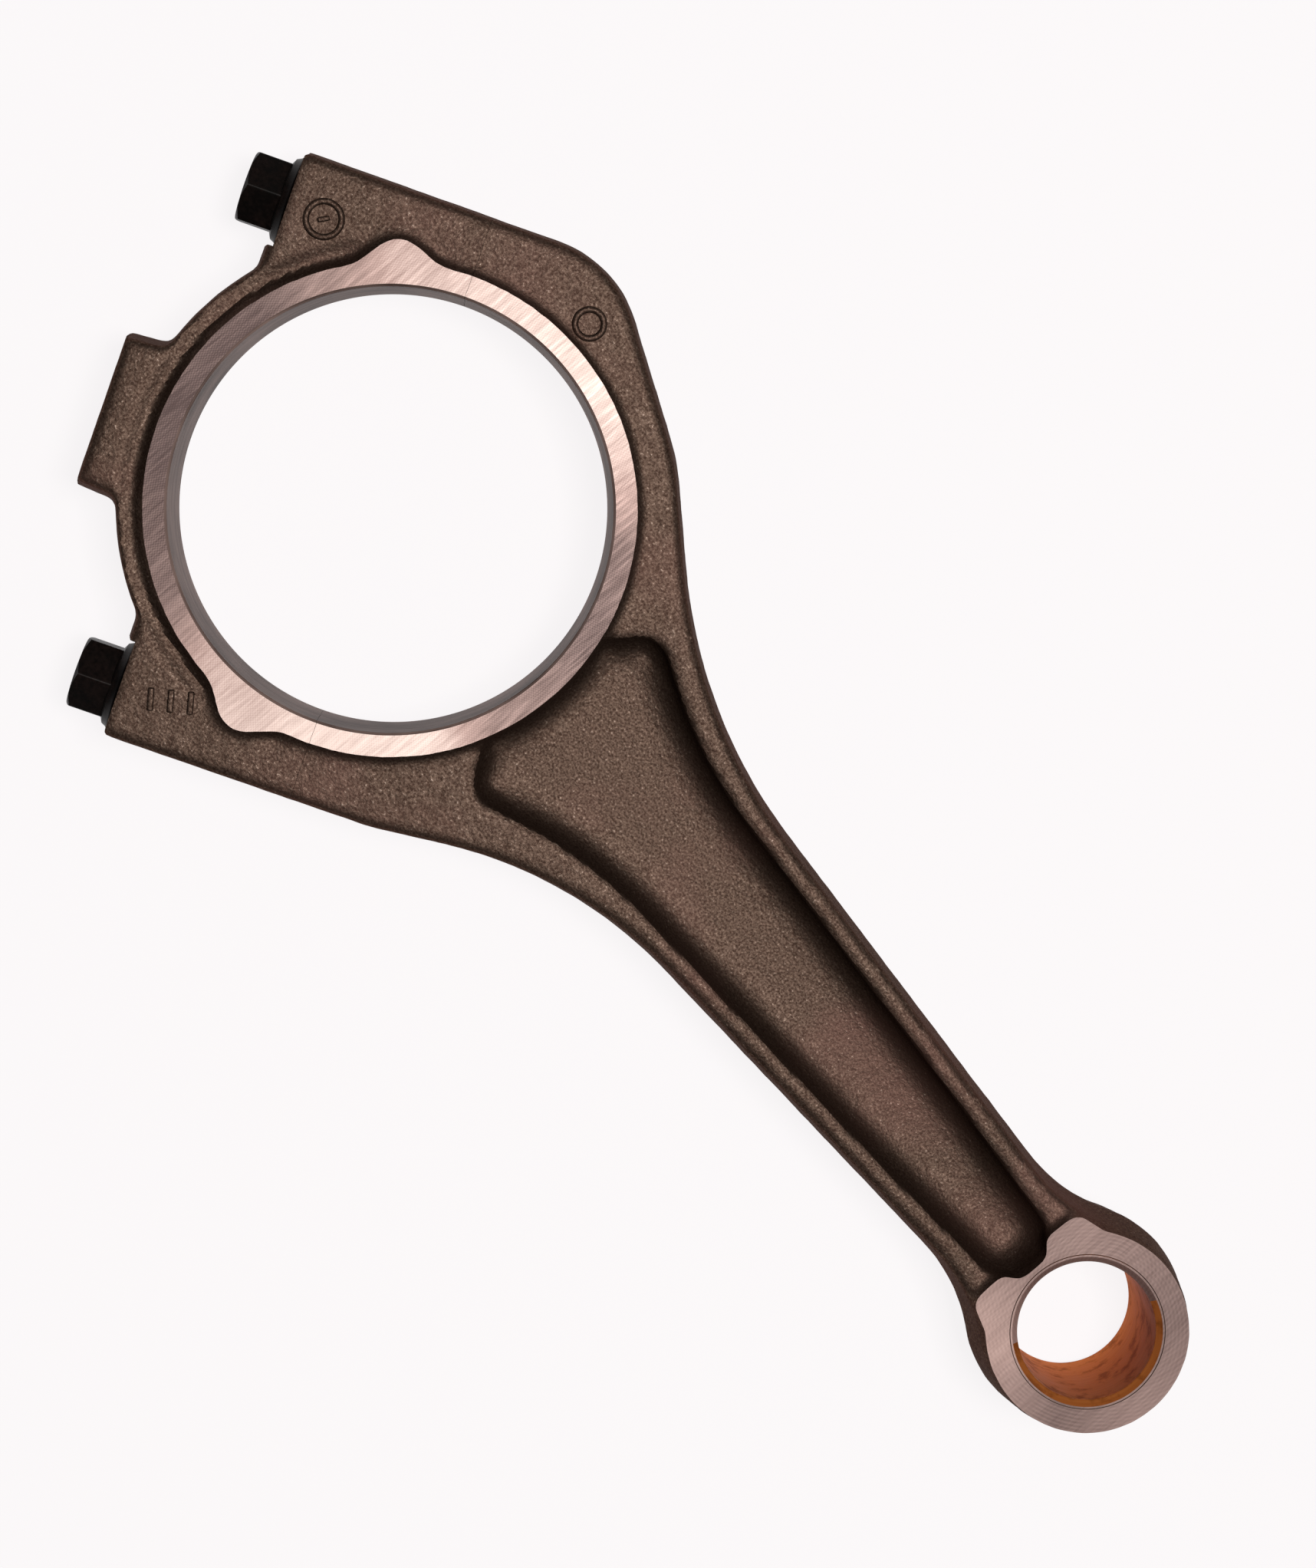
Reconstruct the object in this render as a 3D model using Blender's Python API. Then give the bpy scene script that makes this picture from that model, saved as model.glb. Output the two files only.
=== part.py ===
"""Connecting rod for a piston engine, lying flat on its side.

The big end is split at an angle to the shank. The cap is held by two
flange bolts and the small end carries a pressed-in bronze bush. The rod
and the cap are cut from one forging, as the real pair is cracked apart
from one piece after machining.

The sketch plane is the rod's middle plane: x runs from the crank bore to
the pin bore, y across the shank and z along both bores. Lengths below are
in millimetres and angles in degrees.
"""

import math

import bmesh
import bpy
from mathutils import Vector

MM = 0.001

# overall sizes
CENTRE_DISTANCE = 196.4
RUNNING_GAP = 0.3
CHORD_ERROR = 0.08

# big end
CRANK_BORE_RADIUS = 40.0
CRANK_BORE_CHAMFER = 1.0
RING_WALL = 4.3
RING_LOBE_HEIGHT = 3.5
RING_LOBE_HALF_WIDTH = 13.0
RING_LOBE_ANGLE = 72.5
END_WIDTH = 30.0
RING_PROUD = 1.5
CAP_WALL = 10.5

# oblique split and its bolts
SPLIT_ANGLE = 30.4
BOLT_RADIUS = 4.0
BOLT_WALL = 2.8
LUG_WALL = 5.7
SEAT_DEPTH = 35.4
LUG_FACE_RISE = 2.4
SEAT_INNER_MARGIN = 0.6
BOLT_LENGTH = 58.0
BOLT_HOLE_SPARE = 4.0

# flange bolt head
HEX_FLAT_RADIUS = 6.5
HEX_HEIGHT = 7.1
FLANGE_RADIUS = 8.65
FLANGE_RIM_HEIGHT = 0.8
FLANGE_CONE_HEIGHT = 1.2
HEAD_CHAMFER = 0.9
THREAD_END_CHAMFER = 0.9

# weight pad on the cap
PAD_RISE = 5.6
PAD_HALF_WIDTH = 14.8
PAD_FOOT_SPREAD = 2.6

# shank
SHANK_HALF_WIDTH_BIG = 22.0
SHANK_HALF_WIDTH_SMALL = 12.5
SHOULDER_WALL = 13.2
SHOULDER_ANGLE = 59.4
SHOULDER_ROUND = 40.0
SHOULDER_UPPER_SLOPE = -0.43
SHOULDER_UPPER_ROUND = 22.0
SHOULDER_LOWER_REACH = 2.0
NECK_UPPER_REACH = 25.5
NECK_UPPER_ROUND = 95.0
NECK_LOWER_REACH = 32.6
NECK_LOWER_ROUND = 82.0
WEB_THICKNESS = 11.0
POCKET_BEND_REACH = 30.0
POCKET_BEND_ROUND = 45.0
POCKET_SHOULDER_REACH = 11.5
POCKET_SHOULDER_ROUND = 4.0
POCKET_SHOULDER_SPREAD = 5.9
POCKET_RING_MARGIN = 2.5
POCKET_MARGIN_BIG = 2.6
POCKET_MARGIN_SMALL = 5.0

# forging skin
DRAFT_ANGLE = 6.0
EDGE_ROUND = 2.2
EDGE_STEPS = 3
POCKET_FLOOR_ROUND = 3.5

# small end
PIN_BORE_RADIUS = 12.8
BUSH_WALL = 1.2
BUSH_CHAMFER = 0.5
EYE_WALL = 4.6
EYE_DRAFT = 1.9
EYE_BOSS_PROUD = 0.3
EYE_NECK_ROUND = 32.0
EYE_NECK_TANGENT = 120.0
EAR_HEIGHT = 2.6
EAR_ANGLE = 30.0
EAR_HALF_WIDTH = 17.0

# how finely round shapes are stepped
BORE_STEPS = 96
RING_STEPS = 120
EYE_STEPS = 64
BOLT_STEPS = 24

# sizes that follow from the ones above
MID = END_WIDTH / 2
FORGED_HALF = MID - RING_PROUD
BOLT_OFFSET = CRANK_BORE_RADIUS + BOLT_WALL + BOLT_RADIUS
LUG_OFFSET = BOLT_OFFSET + BOLT_RADIUS + LUG_WALL
CAP_RADIUS = CRANK_BORE_RADIUS + CAP_WALL
PAD_DEPTH = CAP_RADIUS + PAD_RISE
LUG_FACE_DEPTH = SEAT_DEPTH + LUG_FACE_RISE
EYE_BORE_RADIUS = PIN_BORE_RADIUS + BUSH_WALL + RUNNING_GAP
EYE_FACE_RADIUS = PIN_BORE_RADIUS + BUSH_WALL + EYE_WALL
EYE_RADIUS = EYE_FACE_RADIUS + EYE_DRAFT
RING_RADIUS = CRANK_BORE_RADIUS + RING_WALL
ALONG = Vector((math.cos(math.radians(SPLIT_ANGLE)), math.sin(math.radians(SPLIT_ANGLE))))
ACROSS = Vector((-ALONG.y, ALONG.x))


def split_point(along, across, round_radius=0.0):
    """A corner given along and across the bolts, as (x, y, round)."""
    spot = ALONG * along + ACROSS * across
    return (spot.x, spot.y, round_radius)


def shank_half_width(x):
    """Half the shank's width at its middle plane, a straight taper."""
    small_x = CENTRE_DISTANCE - EYE_RADIUS
    share = x / small_x
    return SHANK_HALF_WIDTH_BIG + (SHANK_HALF_WIDTH_SMALL - SHANK_HALF_WIDTH_BIG) * share


def arc_corners(centre_x, centre_y, radius, first, last):
    """Corners along an arc, without rounds, from one angle to another."""
    step = math.degrees(2 * math.acos(1 - CHORD_ERROR / radius))
    count = max(2, math.ceil(abs(last - first) / step))
    found = []
    for index in range(count + 1):
        angle = math.radians(first + (last - first) * index / count)
        found.append((centre_x + radius * math.cos(angle), centre_y + radius * math.sin(angle), 0.0))
    return found


def rounded_outline(corners):
    """Closed outline through corners (x, y, round), each round made an arc."""
    outline = []
    count = len(corners)
    for index, (x, y, radius) in enumerate(corners):
        here = Vector((x, y))
        if radius == 0.0:
            outline.append(here)
            continue
        before = (Vector(corners[index - 1][:2]) - here).normalized()
        after = (Vector(corners[(index + 1) % count][:2]) - here).normalized()
        half = before.angle(after) / 2
        centre = here + (before + after).normalized() * (radius / math.sin(half))
        start = here + before * (radius / math.tan(half)) - centre
        turn = math.atan2(after.cross(before), -after.dot(before))
        steps = max(1, math.ceil(abs(turn) / (2 * math.acos(1 - CHORD_ERROR / radius))))
        for step in range(steps + 1):
            angle = turn * step / steps
            outline.append(
                centre
                + Vector(
                    (
                        start.x * math.cos(angle) - start.y * math.sin(angle),
                        start.x * math.sin(angle) + start.y * math.cos(angle),
                    )
                )
            )
    return [spot for index, spot in enumerate(outline) if (spot - outline[index - 1]).length > 0.05]


def inset_outline(outline, distance):
    """The same anticlockwise outline moved inwards by a distance."""
    moved = []
    count = len(outline)
    for index, here in enumerate(outline):
        into = (here - outline[index - 1]).normalized()
        out = (outline[(index + 1) % count] - here).normalized()
        normal_in = Vector((-into.y, into.x))
        normal_out = Vector((-out.y, out.x))
        mitre = (normal_in + normal_out).normalized()
        moved.append(here + mitre * (distance / max(0.3, mitre.dot(normal_in))))
    return moved


def lobed_outline(centre_x, radius, lobes, steps):
    """Round outline with smooth lobes (angle, height, half width) on it."""
    outline = []
    for index in range(steps):
        degrees = 360.0 * index / steps
        reach = radius
        for angle, height, half_width in lobes:
            away = abs((degrees - angle + 180.0) % 360.0 - 180.0)
            if away < half_width:
                reach += height * 0.5 * (1 + math.cos(math.pi * away / half_width))
        turn = math.radians(degrees)
        outline.append(Vector((centre_x + reach * math.cos(turn), reach * math.sin(turn))))
    return outline


def ring_of(outline, height):
    """An outline lifted to a height, in metres."""
    return [Vector((spot.x * MM, spot.y * MM, height * MM)) for spot in outline]


def circle_of(radius, height, steps, centre_x=0.0):
    """A circle at a height, in metres."""
    return ring_of(lobed_outline(centre_x, radius, [], steps), height)


def skin(name, rings, closed=False):
    """Solid skinned over matching rings, with end caps unless it closes on itself."""
    shape = bmesh.new()
    loops = [[shape.verts.new(spot) for spot in ring] for ring in rings]
    pairs = list(zip(loops, loops[1:]))
    if closed:
        pairs.append((loops[-1], loops[0]))
    for lower, upper in pairs:
        count = len(lower)
        for index in range(count):
            follow = (index + 1) % count
            shape.faces.new((lower[index], lower[follow], upper[follow], upper[index]))
    if not closed:
        shape.faces.new(list(reversed(loops[0])))
        shape.faces.new(loops[-1])
    bmesh.ops.recalc_face_normals(shape, faces=shape.faces)
    mesh = bpy.data.meshes.new(name)
    shape.to_mesh(mesh)
    shape.free()
    piece = bpy.data.objects.new(name, mesh)
    bpy.context.collection.objects.link(piece)
    return piece


def combine(piece, tool, operation):
    """Boolean a tool into a piece and take the tool away."""
    bpy.ops.object.select_all(action="DESELECT")
    bpy.context.view_layer.objects.active = piece
    piece.select_set(True)
    change = piece.modifiers.new(operation.lower(), "BOOLEAN")
    change.operation = operation
    change.solver = "EXACT"
    change.object = tool
    bpy.ops.object.modifier_apply(modifier=change.name)
    bpy.data.objects.remove(tool, do_unlink=True)


def block(name, low, high):
    """Box between two (along, across, z) corners, square to the bolts."""
    corners = [
        split_point(low[0], low[1]),
        split_point(high[0], low[1]),
        split_point(high[0], high[1]),
        split_point(low[0], high[1]),
    ]
    outline = rounded_outline(corners)
    return skin(name, [ring_of(outline, low[2]), ring_of(outline, high[2])])


def bolt_rod(name, radius, first, last, across, steps):
    """Round bar along a bolt axis, between two depths along it."""
    rings = []
    for along in (first, last):
        ring = []
        for index in range(steps):
            turn = 2 * math.pi * index / steps
            spot = ALONG * along + ACROSS * (across + radius * math.cos(turn))
            ring.append(Vector((spot.x * MM, spot.y * MM, radius * math.sin(turn) * MM)))
        rings.append(ring)
    return skin(name, rings)


def bore_cutter(name, centre_x, radius, chamfer, steps):
    """Cutter for a bore with both mouths chamfered."""
    past = 2.0
    levels = [
        (radius + chamfer + past, -MID - past),
        (radius, -MID + chamfer),
        (radius, MID - chamfer),
        (radius + chamfer + past, MID + past),
    ]
    return skin(name, [circle_of(reach, height, steps, centre_x) for reach, height in levels])


def forging_outline():
    """Outline of the whole forging at its middle plane."""
    eye_corner = EYE_RADIUS / math.cos(math.radians(EYE_NECK_TANGENT / 4))
    corners = []
    for quarter in (-3, -1, 1, 3):
        turn = math.radians(quarter * EYE_NECK_TANGENT / 4)
        corners.append(
            (
                CENTRE_DISTANCE + eye_corner * math.cos(turn),
                eye_corner * math.sin(turn),
                EYE_RADIUS,
            )
        )
    tangent = math.radians(EYE_NECK_TANGENT)
    neck_width = shank_half_width(CENTRE_DISTANCE - EYE_RADIUS)
    neck_run = (EYE_RADIUS * math.sin(tangent) - neck_width) * math.tan(tangent)
    neck_x = CENTRE_DISTANCE + EYE_RADIUS * math.cos(tangent) + neck_run
    corners.append((neck_x, neck_width, EYE_NECK_ROUND))

    neck_upper = CRANK_BORE_RADIUS + NECK_UPPER_REACH
    neck_lower = CRANK_BORE_RADIUS + NECK_LOWER_REACH
    shoulder_radius = CRANK_BORE_RADIUS + SHOULDER_WALL
    shoulder_turn = math.radians(SHOULDER_ANGLE)
    top_x = shoulder_radius * math.cos(shoulder_turn)
    top_y = shoulder_radius * math.sin(shoulder_turn)
    corners.append((neck_upper, shank_half_width(neck_upper), NECK_UPPER_ROUND))
    corners.append((top_x, top_y, SHOULDER_ROUND))
    lug_slope = ALONG.y / ALONG.x
    lug_at_zero = LUG_OFFSET / ALONG.x
    lug_x = (top_y - SHOULDER_UPPER_SLOPE * top_x - lug_at_zero) / (lug_slope - SHOULDER_UPPER_SLOPE)
    corners.append((lug_x, lug_at_zero + lug_slope * lug_x, SHOULDER_UPPER_ROUND))

    lug_start = math.degrees(math.acos(LUG_FACE_DEPTH / CAP_RADIUS))
    pad_start = math.degrees(math.asin((PAD_HALF_WIDTH + PAD_FOOT_SPREAD) / CAP_RADIUS))
    facing = 180.0 + SPLIT_ANGLE
    corners.append(split_point(-LUG_FACE_DEPTH, LUG_OFFSET, 5.0))
    corners += arc_corners(0, 0, CAP_RADIUS, facing - lug_start, facing - pad_start)
    corners.append(split_point(-PAD_DEPTH, PAD_HALF_WIDTH, 4.5))
    corners.append(split_point(-PAD_DEPTH, -PAD_HALF_WIDTH, 4.5))
    corners += arc_corners(0, 0, CAP_RADIUS, facing + pad_start, facing + lug_start)
    corners.append(split_point(-LUG_FACE_DEPTH, -LUG_OFFSET, 5.0))

    lower_x = CRANK_BORE_RADIUS + SHOULDER_LOWER_REACH
    corners.append((lower_x, lug_slope * lower_x - lug_at_zero, SHOULDER_ROUND))
    corners.append((neck_lower, -shank_half_width(neck_lower), NECK_LOWER_ROUND))
    corners.append((neck_x, -neck_width, EYE_NECK_ROUND))
    return rounded_outline(corners)


def drafted_rings(outline):
    """Rings of a forging blocked out in two dies, with rounded edges."""
    straight = FORGED_HALF - EDGE_ROUND
    lean = straight * math.tan(math.radians(DRAFT_ANGLE))
    upper = [(0.0, 0.0)]
    for step in range(EDGE_STEPS + 1):
        turn = math.radians(90.0 * step / EDGE_STEPS)
        upper.append((straight + EDGE_ROUND * math.sin(turn), lean + EDGE_ROUND * (1 - math.cos(turn))))
    levels = [(-height, distance) for height, distance in reversed(upper[1:])] + upper
    return [ring_of(inset_outline(outline, distance), height) for height, distance in levels]


def pocket_outline():
    """Outline of the I-section's hollow at the forging's face."""
    near = RING_RADIUS + POCKET_RING_MARGIN
    bend_x = CRANK_BORE_RADIUS + POCKET_BEND_REACH
    shoulder_x = CRANK_BORE_RADIUS + POCKET_SHOULDER_REACH
    far_x = CENTRE_DISTANCE - EYE_FACE_RADIUS - 12.8
    nose_x = CENTRE_DISTANCE - EYE_BORE_RADIUS - 1.5
    half_far = shank_half_width(far_x) - POCKET_MARGIN_SMALL
    half_near = shank_half_width(bend_x) - POCKET_MARGIN_BIG
    shoulder = half_near + POCKET_SHOULDER_SPREAD
    corners = [
        (nose_x, -half_far * 0.7, 5.0),
        (nose_x, half_far * 0.7, 5.0),
        (far_x, half_far, 25.0),
        (bend_x, half_near, POCKET_BEND_ROUND),
        (shoulder_x, shoulder, POCKET_SHOULDER_ROUND),
    ]
    corners += arc_corners(0, 0, near, 22.5, -22.5)
    corners += [
        (shoulder_x, -shoulder, POCKET_SHOULDER_ROUND),
        (bend_x, -half_near, POCKET_BEND_ROUND),
        (far_x, -half_far, 25.0),
    ]
    return rounded_outline(corners)


def pocket_cutter(name, side):
    """Cutter for one face's hollow, its walls leaning and its floor filleted."""
    outline = pocket_outline()
    floor = WEB_THICKNESS / 2
    lean = math.tan(math.radians(DRAFT_ANGLE))
    levels = [(MID + 3.0, -0.3), (FORGED_HALF, 0.0)]
    start = floor + POCKET_FLOOR_ROUND
    reach = (FORGED_HALF - start) * lean
    for step in range(EDGE_STEPS + 1):
        turn = math.radians(90.0 * step / EDGE_STEPS)
        levels.append(
            (
                start - POCKET_FLOOR_ROUND * math.sin(turn),
                reach + POCKET_FLOOR_ROUND * (1 - math.cos(turn)),
            )
        )
    rings = [ring_of(inset_outline(outline, distance), side * height) for height, distance in levels]
    return skin(name, rings)


def build_forging():
    """The machined forging before the big end is split."""
    forging = skin("forging", drafted_rings(forging_outline()))
    eye_levels = [
        (EYE_FACE_RADIUS, -MID),
        (EYE_RADIUS + EYE_BOSS_PROUD, 0.0),
        (EYE_FACE_RADIUS, MID),
    ]
    ears = [(180.0 - EAR_ANGLE, EAR_HEIGHT, EAR_HALF_WIDTH), (180.0 + EAR_ANGLE, EAR_HEIGHT, EAR_HALF_WIDTH)]
    eye_rings = []
    for radius, height in eye_levels:
        eye_rings.append(ring_of(lobed_outline(CENTRE_DISTANCE, radius, ears, EYE_STEPS), height))
    combine(forging, skin("eye", eye_rings), "UNION")
    combine(forging, pocket_cutter("pocket_top", 1.0), "DIFFERENCE")
    combine(forging, pocket_cutter("pocket_bottom", -1.0), "DIFFERENCE")

    facing = 180.0 + SPLIT_ANGLE
    lobes = [
        (facing - RING_LOBE_ANGLE, RING_LOBE_HEIGHT, RING_LOBE_HALF_WIDTH),
        (facing + RING_LOBE_ANGLE, RING_LOBE_HEIGHT, RING_LOBE_HALF_WIDTH),
    ]
    ring = lobed_outline(0.0, RING_RADIUS, lobes, RING_STEPS)
    combine(forging, skin("ring", [ring_of(ring, -MID), ring_of(ring, MID)]), "UNION")

    crank = bore_cutter("crank_bore", 0.0, CRANK_BORE_RADIUS, CRANK_BORE_CHAMFER, BORE_STEPS)
    combine(forging, crank, "DIFFERENCE")
    combine(
        forging,
        bore_cutter("eye_bore", CENTRE_DISTANCE, EYE_BORE_RADIUS, BUSH_CHAMFER, EYE_STEPS),
        "DIFFERENCE",
    )
    for side in (1.0, -1.0):
        inner = BOLT_OFFSET - FLANGE_RADIUS - SEAT_INNER_MARGIN
        outer = LUG_OFFSET + 3.0
        low = (-LUG_FACE_DEPTH - 3.0, min(side * inner, side * outer), -MID - 1.0)
        high = (-SEAT_DEPTH, max(side * inner, side * outer), MID + 1.0)
        combine(forging, block("seat", low, high), "DIFFERENCE")
        depth = BOLT_LENGTH - SEAT_DEPTH + BOLT_HOLE_SPARE
        hole = bolt_rod(
            "bolt_hole",
            BOLT_RADIUS + RUNNING_GAP,
            -LUG_FACE_DEPTH - 2.0,
            depth,
            side * BOLT_OFFSET,
            BOLT_STEPS,
        )
        combine(forging, hole, "DIFFERENCE")
    return forging


def build_rod_and_cap():
    """The forging cut in two through the crank bore, square to the bolts."""
    forging = build_forging()
    cap = bpy.data.objects.new("big_end_cap", forging.data.copy())
    bpy.context.collection.objects.link(cap)
    rod = forging
    rod.name = "rod"
    rod.data.name = "rod"
    reach = 2 * CENTRE_DISTANCE
    half_gap = RUNNING_GAP / 2
    keep_rod = block("keep_rod", (half_gap, -reach, -reach), (reach, reach, reach))
    keep_cap = block("keep_cap", (-reach, -reach, -reach), (-half_gap, reach, reach))
    combine(rod, keep_rod, "INTERSECT")
    combine(cap, keep_cap, "INTERSECT")
    return rod, cap


def build_bush():
    """Thin bronze sleeve in the small end, chamfered inside and out."""
    inner = PIN_BORE_RADIUS
    outer = PIN_BORE_RADIUS + BUSH_WALL
    half = MID - RUNNING_GAP
    profile = [
        (outer - BUSH_CHAMFER, -half),
        (outer, -half + BUSH_CHAMFER),
        (outer, half - BUSH_CHAMFER),
        (outer - BUSH_CHAMFER, half),
        (inner + BUSH_CHAMFER, half),
        (inner, half - BUSH_CHAMFER),
        (inner, -half + BUSH_CHAMFER),
        (inner + BUSH_CHAMFER, -half),
    ]
    rings = [circle_of(radius, height, EYE_STEPS) for radius, height in profile]
    return skin("pin_bush", rings, closed=True)


def hex_ring(flat_radius, height, steps):
    """Ring on a hexagon with a corner along +X, in metres."""
    outline = []
    for index in range(steps):
        turn = 2 * math.pi * index / steps
        from_flat = (turn + math.pi / 3) % (math.pi / 3) - math.pi / 6
        reach = flat_radius / math.cos(from_flat)
        outline.append(Vector((reach * math.cos(turn), reach * math.sin(turn))))
    return ring_of(outline, height)


def build_bolt(name):
    """Flange bolt standing on its own axis, its seat at height zero."""
    steps = BOLT_STEPS
    cone_top = FLANGE_RIM_HEIGHT + FLANGE_CONE_HEIGHT
    corner_radius = HEX_FLAT_RADIUS / math.cos(math.pi / 6)
    head_top = cone_top + HEX_HEIGHT
    rings = [
        circle_of(BOLT_RADIUS - THREAD_END_CHAMFER, -BOLT_LENGTH, steps),
        circle_of(BOLT_RADIUS, -BOLT_LENGTH + THREAD_END_CHAMFER, steps),
        circle_of(BOLT_RADIUS, RUNNING_GAP, steps),
        circle_of(FLANGE_RADIUS, RUNNING_GAP, steps),
        circle_of(FLANGE_RADIUS, FLANGE_RIM_HEIGHT, steps),
        circle_of(corner_radius, cone_top, steps),
        hex_ring(HEX_FLAT_RADIUS, cone_top + 0.1, steps),
        hex_ring(HEX_FLAT_RADIUS, head_top - HEAD_CHAMFER, steps),
        circle_of(HEX_FLAT_RADIUS - 0.2, head_top, steps),
    ]
    return skin(name, rings)


def paint(piece, colour, roughness, metallic):
    """Give a piece its own metal."""
    finish = bpy.data.materials.new(piece.name + "_finish")
    finish.use_nodes = True
    surface = finish.node_tree.nodes["Principled BSDF"]
    surface.inputs["Base Color"].default_value = (*colour, 1.0)
    surface.inputs["Roughness"].default_value = roughness
    surface.inputs["Metallic"].default_value = metallic
    piece.data.materials.clear()
    piece.data.materials.append(finish)
    for face in piece.data.polygons:
        face.material_index = 0


def shade(piece, angle):
    """Smooth the round faces and keep edges sharper than an angle crisp."""
    piece.data.shade_smooth()
    piece.data.set_sharp_from_angle(angle=math.radians(angle))


def ride(piece, carrier):
    """Fix a piece to the one that carries it, where it stands."""
    bpy.context.view_layer.update()
    piece.parent = carrier
    piece.matrix_parent_inverse = carrier.matrix_world.inverted()


def settle_on_origin(root, pieces):
    """Move the root so the whole stands on z = 0, centred over the origin."""
    bpy.context.view_layer.update()
    spots = [piece.matrix_world @ vertex.co for piece in pieces for vertex in piece.data.vertices]
    low = [min(spot[axis] for spot in spots) for axis in range(3)]
    high = [max(spot[axis] for spot in spots) for axis in range(3)]
    root.location.x -= (low[0] + high[0]) / 2
    root.location.y -= (low[1] + high[1]) / 2
    root.location.z -= low[2]


def main():
    """Build every piece and set the whole rod down on its face."""
    for leftover in list(bpy.data.objects):
        bpy.data.objects.remove(leftover, do_unlink=True)

    rod, cap = build_rod_and_cap()
    bush = build_bush()
    bush.location.x = CENTRE_DISTANCE * MM
    ride(bush, rod)
    ride(cap, rod)

    bolts = []
    for name, side in (("cap_bolt_upper", 1.0), ("cap_bolt_lower", -1.0)):
        bolt = build_bolt(name)
        seat = (ACROSS * (side * BOLT_OFFSET) - ALONG * SEAT_DEPTH) * MM
        bolt.location = (seat.x, seat.y, 0.0)
        bolt.rotation_euler = (0.0, math.pi / 2, math.pi + math.radians(SPLIT_ANGLE))
        ride(bolt, cap)
        bolts.append(bolt)

    paint(rod, (0.075, 0.060, 0.052), 0.55, 0.7)
    paint(cap, (0.075, 0.060, 0.052), 0.55, 0.7)
    paint(bush, (0.60, 0.33, 0.13), 0.35, 1.0)
    for bolt in bolts:
        paint(bolt, (0.022, 0.019, 0.021), 0.38, 0.6)
    for piece in (rod, cap, bush, *bolts):
        shade(piece, 30.0)
    settle_on_origin(rod, (rod, cap, bush, *bolts))


main()
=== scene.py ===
"""Looks of a split connecting rod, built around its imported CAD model.

The big end is made the way the real one is: a forging with drafted walls and
soft edges is blocked out first, and the faces, the bores, the bolt seats and
the crack between rod and cap are cut into it afterwards. The flange bolts,
the bronze bush and the raised forging marks are pieces of their own.

Sizes are in millimetres and angles in degrees. The rod's own sketch plane
has its origin at the crank bore, x towards the pin bore and y across.
"""

import logging
import math
from collections.abc import Callable, Iterable, Sequence
from dataclasses import dataclass, field
from enum import Enum, IntEnum
from functools import cached_property

import bpy
from mathutils import Matrix, Vector


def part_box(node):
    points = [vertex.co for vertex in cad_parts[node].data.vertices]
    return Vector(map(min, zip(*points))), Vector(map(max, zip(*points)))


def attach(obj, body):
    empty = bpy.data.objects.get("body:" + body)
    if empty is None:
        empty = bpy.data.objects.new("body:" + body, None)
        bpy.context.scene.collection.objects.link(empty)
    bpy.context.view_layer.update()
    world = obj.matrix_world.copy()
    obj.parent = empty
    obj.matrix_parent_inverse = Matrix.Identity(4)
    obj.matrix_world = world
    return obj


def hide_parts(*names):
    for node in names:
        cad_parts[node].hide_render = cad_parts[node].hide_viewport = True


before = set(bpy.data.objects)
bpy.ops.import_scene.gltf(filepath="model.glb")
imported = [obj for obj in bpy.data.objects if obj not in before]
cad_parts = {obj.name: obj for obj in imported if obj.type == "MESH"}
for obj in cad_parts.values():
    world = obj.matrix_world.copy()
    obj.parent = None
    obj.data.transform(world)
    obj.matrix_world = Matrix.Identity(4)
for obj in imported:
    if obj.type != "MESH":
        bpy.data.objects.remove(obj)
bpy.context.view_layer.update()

logging.basicConfig(level=logging.INFO, format="%(name)s: %(message)s")
LOG = logging.getLogger("connecting_rod")

MM = 0.001

Spot = tuple[float, float]
Corner = tuple[float, float, float]
Colour = tuple[float, float, float]
Steps = Sequence[tuple[float, float]]
Sectors = tuple[tuple[float, float], ...]
Piece = bpy.types.Object
Finish = bpy.types.Material
Socket = bpy.types.NodeSocket

# Painted highlight round the milled ring, as (share of a turn, number): how bright its reflection
# is painted at each angle.
RING_PAINTED_SHEEN: Sectors = (
    (0.0, 0.05),
    (0.08, 0.02),
    (0.18, 0.15),
    (0.25, 0.62),
    (0.33, 1.0),
    (0.40, 0.95),
    (0.43, 0.66),
    (0.47, 0.30),
    (0.55, 0.11),
    (0.61, 0.22),
    (0.67, 0.76),
    (0.73, 1.0),
    (0.82, 0.88),
    (0.89, 0.62),
    (0.95, 0.15),
    (1.0, 0.05),
)
# Painted highlight round the small end's milled face, as (share of a turn, number).
EYE_PAINTED_SHEEN: Sectors = (
    (0.0, 0.22),
    (0.08, 0.40),
    (0.16, 0.52),
    (0.22, 0.36),
    (0.33, 0.14),
    (0.48, 0.30),
    (0.66, 0.15),
    (0.90, 0.28),
    (1.0, 0.22),
)


class Carrier(Enum):
    """The moving bodies that pieces ride on."""

    ROD = "rod"
    CAP = "cap"
    BOLT_UPPER = "bolt_upper"
    BOLT_LOWER = "bolt_lower"


class Cut(Enum):
    """The ways in which one solid works on another."""

    JOIN = "UNION"
    REMOVE = "DIFFERENCE"
    KEEP = "INTERSECT"


class Side(Enum):
    """The two sides of the split big end that a bolt can be on."""

    UPPER = 1.0
    LOWER = -1.0


class Cover(IntEnum):
    """The material slots of rod and cap."""

    SKIN = 0
    RING = 1
    EYE = 2
    BORE = 3
    CRACK = 4


# ---------------------------------------------------------------- workbench


def drop_selection() -> None:
    """Leave edit mode and select nothing."""
    if bpy.context.mode != "OBJECT":
        bpy.ops.object.mode_set(mode="OBJECT")
    bpy.ops.object.select_all(action="DESELECT")


def take(piece: Piece) -> Piece:
    """Make one piece the only selected and the active one.

    Args:
        piece: The piece to take in hand.

    Returns:
        The same piece.
    """
    drop_selection()
    piece.select_set(True)
    bpy.context.view_layer.objects.active = piece
    return piece


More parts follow.
